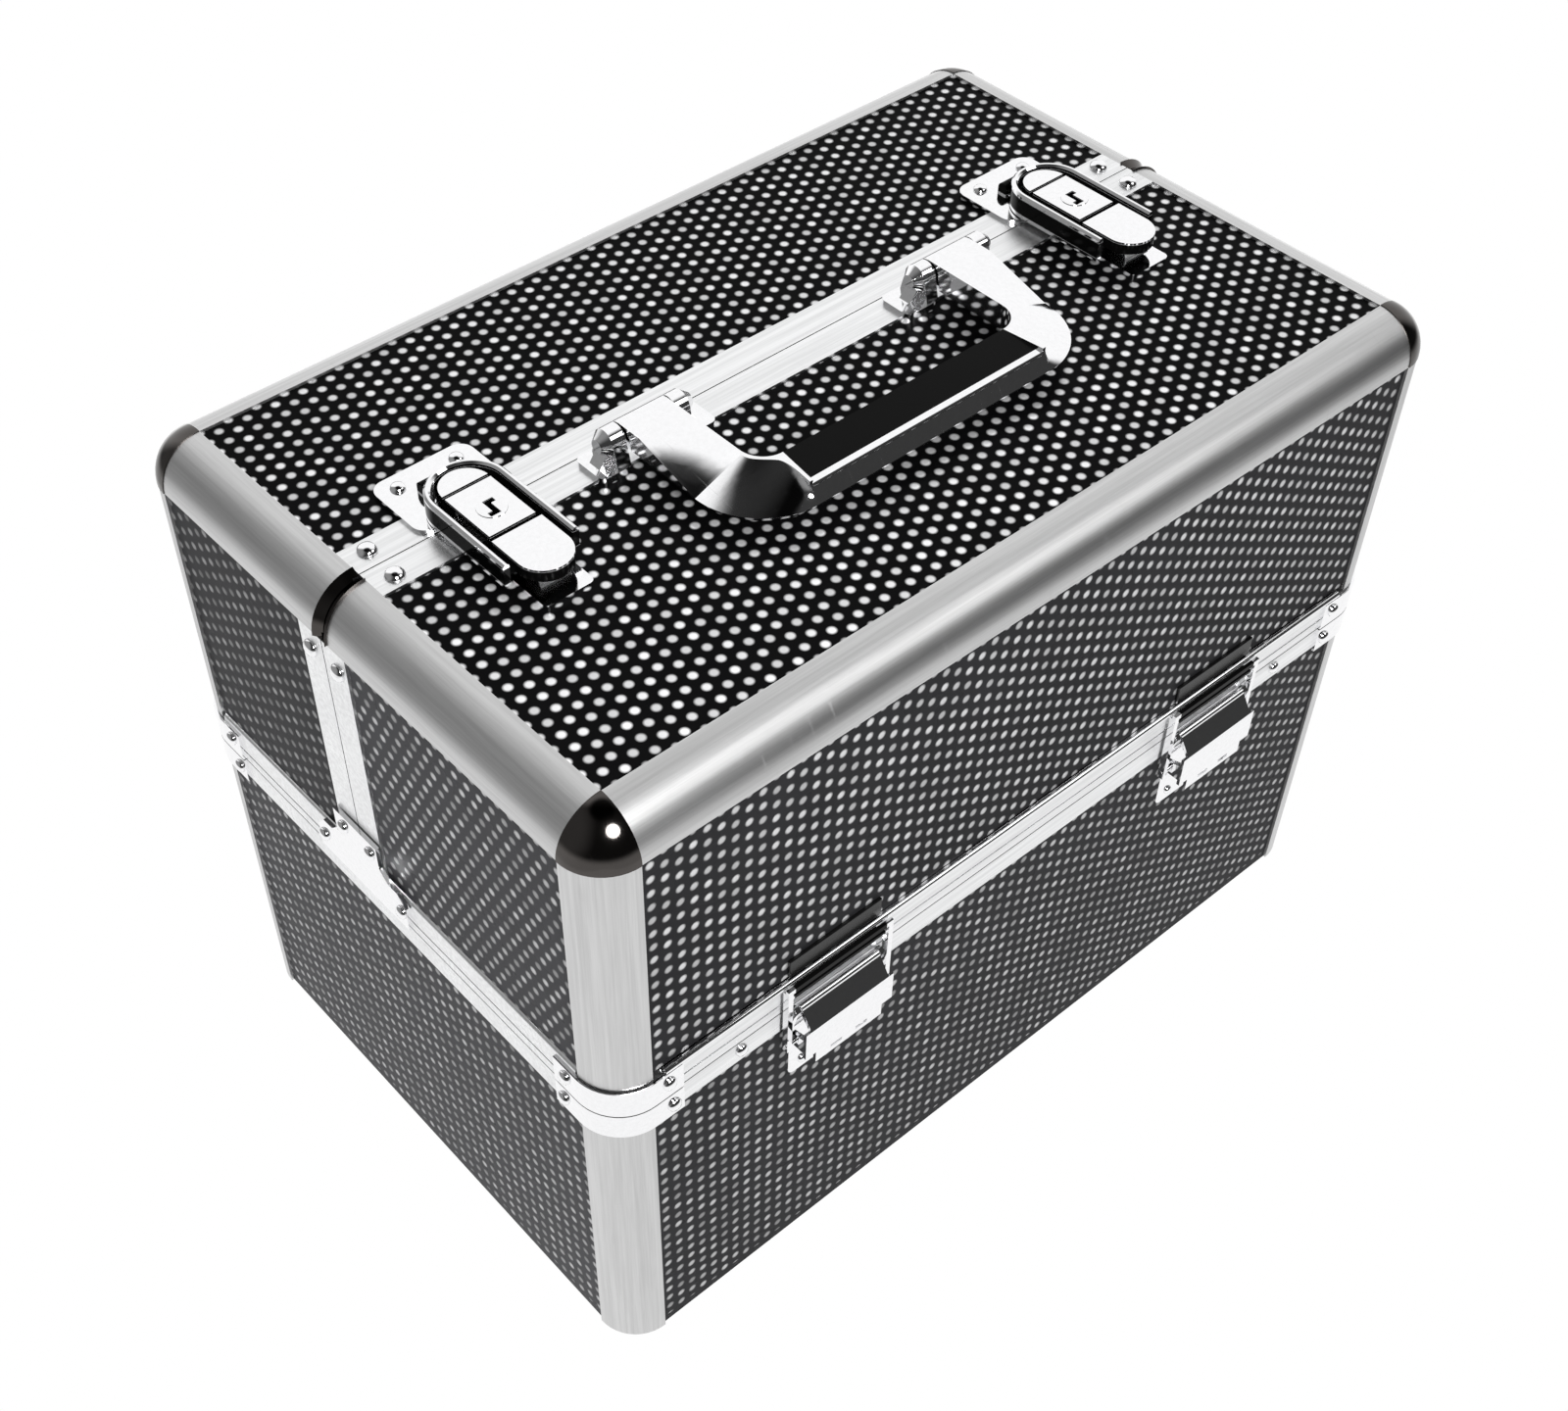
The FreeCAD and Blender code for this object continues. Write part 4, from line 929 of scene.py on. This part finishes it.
@dataclass
class Lock:
    """One hasp lock.

    Attributes:
        label: left or right.
        x: Its place along the case, mm.
        rivet: Place from the lock's middle, y, height over the top and radius of its rivets, mm.
    """

    label: str
    x: float
    rivet: tuple[float, float, float, float] = (10.7, 35.0, 1.2, 2.6)

    def dress(self, shop: Workshop) -> None:
        """Paints the lock and adds its rivets.

        Args:
            shop: Shared tools.
        """
        look = Finishes
        # The hasp's walls are painted black in a band as painted dark reflection.
        shop.paint(look.hoop, ("hasp_" + self.label,))
        # The key plug is painted black below its top face as painted shade.
        shop.paint(look.keyed, ("key_plug_" + self.label,))
        aside, y, lift, radius = self.rivet
        rivets = [Rivet(spot(self.x + side * aside, y, TOP + lift), UP, radius) for side in SIDES]
        shop.piece("lock_rivets_" + self.label, rivet_mesh(rivets), look.chrome, "rear_lid")


@dataclass
class Toggle:
    """One draw latch.

    Attributes:
        label: left or right.
        x: Its place along the case, mm.
        strike: Black plate on the lid over the latch: half length, lower and upper edge, thickness, mm.
        seat: How far the lid wall lies inside the outline, and how deep the plate is let in, mm.
        bevel: Broken edge of the plate, mm.
        rivet: Place from the latch's middle, distance before the outline, height and radius of its rivets.
    """

    label: str
    x: float
    strike: tuple[float, float, float, float] = (19.5, 153.8, 161.5, 1.2)
    seat: tuple[float, float] = (1.0, 0.2)
    bevel: float = 0.3
    rivet: tuple[float, float, float, float] = (13.0, 0.2, 105.5, 1.8)

    def strike_mesh(self) -> bmesh.types.BMesh:
        """Plate seated on the lid wall.

        Returns:
            The mesh.
        """
        half, low, high, thick = self.strike
        inset, depth = self.seat
        mesh = bmesh.new()
        bmesh.ops.create_cube(mesh, size=1.0)
        size = Matrix.Diagonal((2.0 * half * MM, (thick + depth) * MM, (high - low) * MM, 1.0))
        middle = spot(self.x, inset - HALF_Y + (depth - thick) / 2.0, (low + high) / 2.0)
        bmesh.ops.transform(mesh, matrix=Matrix.Translation(middle) @ size, verts=mesh.verts)
        bmesh.ops.bevel(mesh, geom=mesh.edges, offset=self.bevel * MM, segments=1, affect="EDGES")
        return mesh

    def dress(self, shop: Workshop) -> None:
        """Paints the latch and adds its strike plate and rivets.

        Args:
            shop: Shared tools.
        """
        look = Finishes
        shop.piece("latch_strike_" + self.label, self.strike_mesh(), look.lacquer_and_dark_reflection, "front_lid")
        shop.paint(look.chrome, ("toggle_base_" + self.label, "toggle_lever_" + self.label))
        # The claw's middle is painted black as painted shade.
        shop.paint(look.barred, ("toggle_claw_" + self.label,))
        aside, out, z, radius = self.rivet
        rivets = [Rivet(spot(self.x + side * aside, -HALF_Y - out, z), FRONT, radius) for side in SIDES]
        shop.piece("toggle_rivets_" + self.label, rivet_mesh(rivets), look.chrome, "lower_box")


@dataclass
class TrainCase:
    """The whole case."""

    lower: LowerBox = field(default_factory=LowerBox)
    deck: Deck = field(default_factory=Deck)
    handle: Handle = field(default_factory=Handle)
    lids: tuple[LidHalf, ...] = (LidHalf("front", -1), LidHalf("rear", 1))
    locks: tuple[Lock, ...] = (Lock("left", -123.6), Lock("right", 123.6))
    toggles: tuple[Toggle, ...] = (Toggle("left", -90.0), Toggle("right", 90.0))

    def dress(self, shop: Workshop) -> None:
        """Dresses every sub-assembly.

        Args:
            shop: Shared tools.
        """
        shop.paint(Finishes.chrome, ("lock_keepers",))
        # The lock bases' sides are painted black in a band as painted dark reflection.
        shop.paint(Finishes.lock_body, ("lock_bases",))
        for part in (self.lower, self.deck, self.handle, *self.lids, *self.locks, *self.toggles):
            part.dress(shop)


@dataclass(frozen=True)
class Card:
    """Soft bright patch of the surroundings.

    Attributes:
        way: Direction of its middle.
        edge: Cosine at which it begins.
        full: Cosine from which it is fully bright.
        level: Its brightness.
    """

    way: tuple[float, float, float]
    edge: float
    full: float
    level: float


@dataclass(frozen=True)
class Lamp:
    """Round soft light.

    Attributes:
        name: Its name.
        place: Its middle in case coordinates, mm.
        aim: Point it faces, mm.
        size: Diameter, mm.
        power: Watts.
    """

    name: str
    place: tuple[float, float, float]
    aim: tuple[float, float, float]
    size: float
    power: float


@dataclass
class Studio:
    """Pale floor, soft lights, white surroundings and the camera.

    Attributes:
        eye: Camera place in case coordinates, mm.
        azimuth: Direction of view, degrees clockwise from the rear.
        elevation: Degrees looking down.
        picture: Width and height of the picture, pixels.
        focal: Focal length in the same pixels.
        centre: Principal point in the same pixels.
        sensor: Width of the camera's sensor, mm.
        floor_half: Half the side of the floor, metres.
        floor_tone: Its grey level.
        cards: The rear sweep and the left wall.
        ceiling: Upward shares between which the surroundings go dark.
        ground: Upward shares between which the far floor comes in.
        far_floor: Brightness of the far floor.
        room: Brightness where there is no card.
        lamps: A lamp over the near corner, and a weak soft box to the right in front.
    """

    eye: tuple[float, float, float] = (-376.34, -395.63, 666.35)
    azimuth: float = 41.068
    elevation: float = 48.217
    picture: tuple[float, float] = (1600.0, 1440.0)
    focal: float = 2121.546
    centre: tuple[float, float] = (749.73, 822.45)
    sensor: float = 36.0
    floor_half: float = 0.5
    floor_tone: float = 0.92
    cards: tuple[Card, ...] = (
        Card((0.62, 0.66, 0.42), 0.42, 0.70, 1.0),
        Card((-0.81, 0.48, 0.33), 0.45, 0.90, 0.22),
    )
    ceiling: tuple[float, float] = (0.88, 0.96)
    ground: tuple[float, float] = (-0.08, -0.35)
    far_floor: float = 0.8
    room: float = 0.04
    lamps: tuple[Lamp, ...] = (
        Lamp("near_lamp", (-237.0, -466.0, 620.0), (-60.0, 0.0, 200.0), 240.0, 3.7),
        Lamp("side_box", (800.0, -900.0, 1250.0), (0.0, 0.0, 150.0), 700.0, 3.2),
    )

    def set_up(self) -> None:
        """Builds the studio."""
        self.floor()
        self.world()
        self.lights()
        self.camera()
        bpy.context.scene.view_settings.view_transform = "Standard"

    def floor(self) -> None:
        """Pale floor that the camera and the metal see as white."""
        mesh = bmesh.new()
        bmesh.ops.create_grid(mesh, x_segments=1, y_segments=1, size=self.floor_half)
        data = bpy.data.meshes.new("floor")
        mesh.to_mesh(data)
        mesh.free()
        made = bpy.data.objects.new("floor", data)
        bpy.context.scene.collection.objects.link(made)
        material = bpy.data.materials.new("pale_floor")
        material.use_nodes = True
        material.node_tree.nodes.clear()
        graph = Graph(material.node_tree)
        paint = graph.add("ShaderNodeBsdfDiffuse", {"Color": (self.floor_tone,) * 3 + (1.0,)})
        glow = graph.add("ShaderNodeEmission", {"Color": WHITE, "Strength": 1.0})
        path = graph.add("ShaderNodeLightPath").outputs
        mirrored = graph.math("MAXIMUM", path["Is Glossy Ray"], path["Is Transmission Ray"])
        shown = graph.math("MAXIMUM", path["Is Camera Ray"], mirrored)
        blend = graph.add("ShaderNodeMixShader", {0: shown, 1: paint.outputs[0], 2: glow.outputs[0]})
        graph.add("ShaderNodeOutputMaterial", {"Surface": blend.outputs[0]})
        data.materials.append(material)
        LOG.info("floor")

    def world(self) -> None:
        """White for the camera; for everything else soft cards in a dim room with a dark ceiling."""
        world = bpy.data.worlds.new("studio")
        bpy.context.scene.world = world
        world.use_nodes = True
        world.node_tree.nodes.clear()
        graph = Graph(world.node_tree)
        way = graph.add("ShaderNodeTexCoord").outputs["Generated"]
        level = self.room
        for card in self.cards:
            toward = graph.add("ShaderNodeVectorMath", {0: way, 1: card.way}, operation="DOT_PRODUCT")
            bright = graph.ramp(toward.outputs["Value"], card.edge, card.full, (0.0, card.level))
            level = graph.math("ADD", bright, level)
        upward = graph.add("ShaderNodeSeparateXYZ", {0: way}).outputs["Z"]
        level = graph.math("ADD", level, graph.ramp(upward, *self.ground, (0.0, self.far_floor)))
        level = graph.math("MULTIPLY", level, graph.ramp(upward, *self.ceiling, (1.0, self.room)))
        room = graph.add("ShaderNodeBackground", {"Color": WHITE, "Strength": level})
        white = graph.add("ShaderNodeBackground", {"Color": WHITE, "Strength": 1.0})
        seen = graph.add("ShaderNodeLightPath").outputs["Is Camera Ray"]
        blend = graph.add("ShaderNodeMixShader", {0: seen, 1: room.outputs[0], 2: white.outputs[0]})
        graph.add("ShaderNodeOutputWorld", {"Surface": blend.outputs[0]})
        LOG.info("world")

    def lights(self) -> None:
        """Adds the lamps."""
        for lamp in self.lamps:
            data = bpy.data.lights.new(lamp.name, "AREA")
            data.shape = "DISK"
            data.size = lamp.size * MM
            data.energy = lamp.power
            made = bpy.data.objects.new(lamp.name, data)
            place = spot(*lamp.place)
            made.location = place
            made.rotation_mode = "QUATERNION"
            made.rotation_quaternion = (spot(*lamp.aim) - place).to_track_quat("-Z", "Y")
            bpy.context.scene.collection.objects.link(made)
            LOG.info("light %s", lamp.name)

    def camera(self) -> None:
        """Camera fitted to the photo."""
        data = bpy.data.cameras.new("camera")
        data.sensor_fit = "HORIZONTAL"
        width, height = self.picture
        data.sensor_width = self.sensor
        data.lens = self.focal * self.sensor / width
        data.shift_x = (width / 2.0 - self.centre[0]) / width
        data.shift_y = (self.centre[1] - height / 2.0) / width
        data.clip_start = 0.01
        data.clip_end = 50.0
        made = bpy.data.objects.new("camera", data)
        made.location = spot(*self.eye)
        made.rotation_euler = (math.radians(90.0 - self.elevation), 0.0, -math.radians(self.azimuth))
        bpy.context.scene.collection.objects.link(made)
        bpy.context.scene.camera = made
        LOG.info("camera")


def main() -> None:
    """Dresses the case and sets up the studio."""
    shop = Workshop(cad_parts, Effects())
    TrainCase().dress(shop)
    Studio().set_up()


if __name__ == "__main__":
    main()
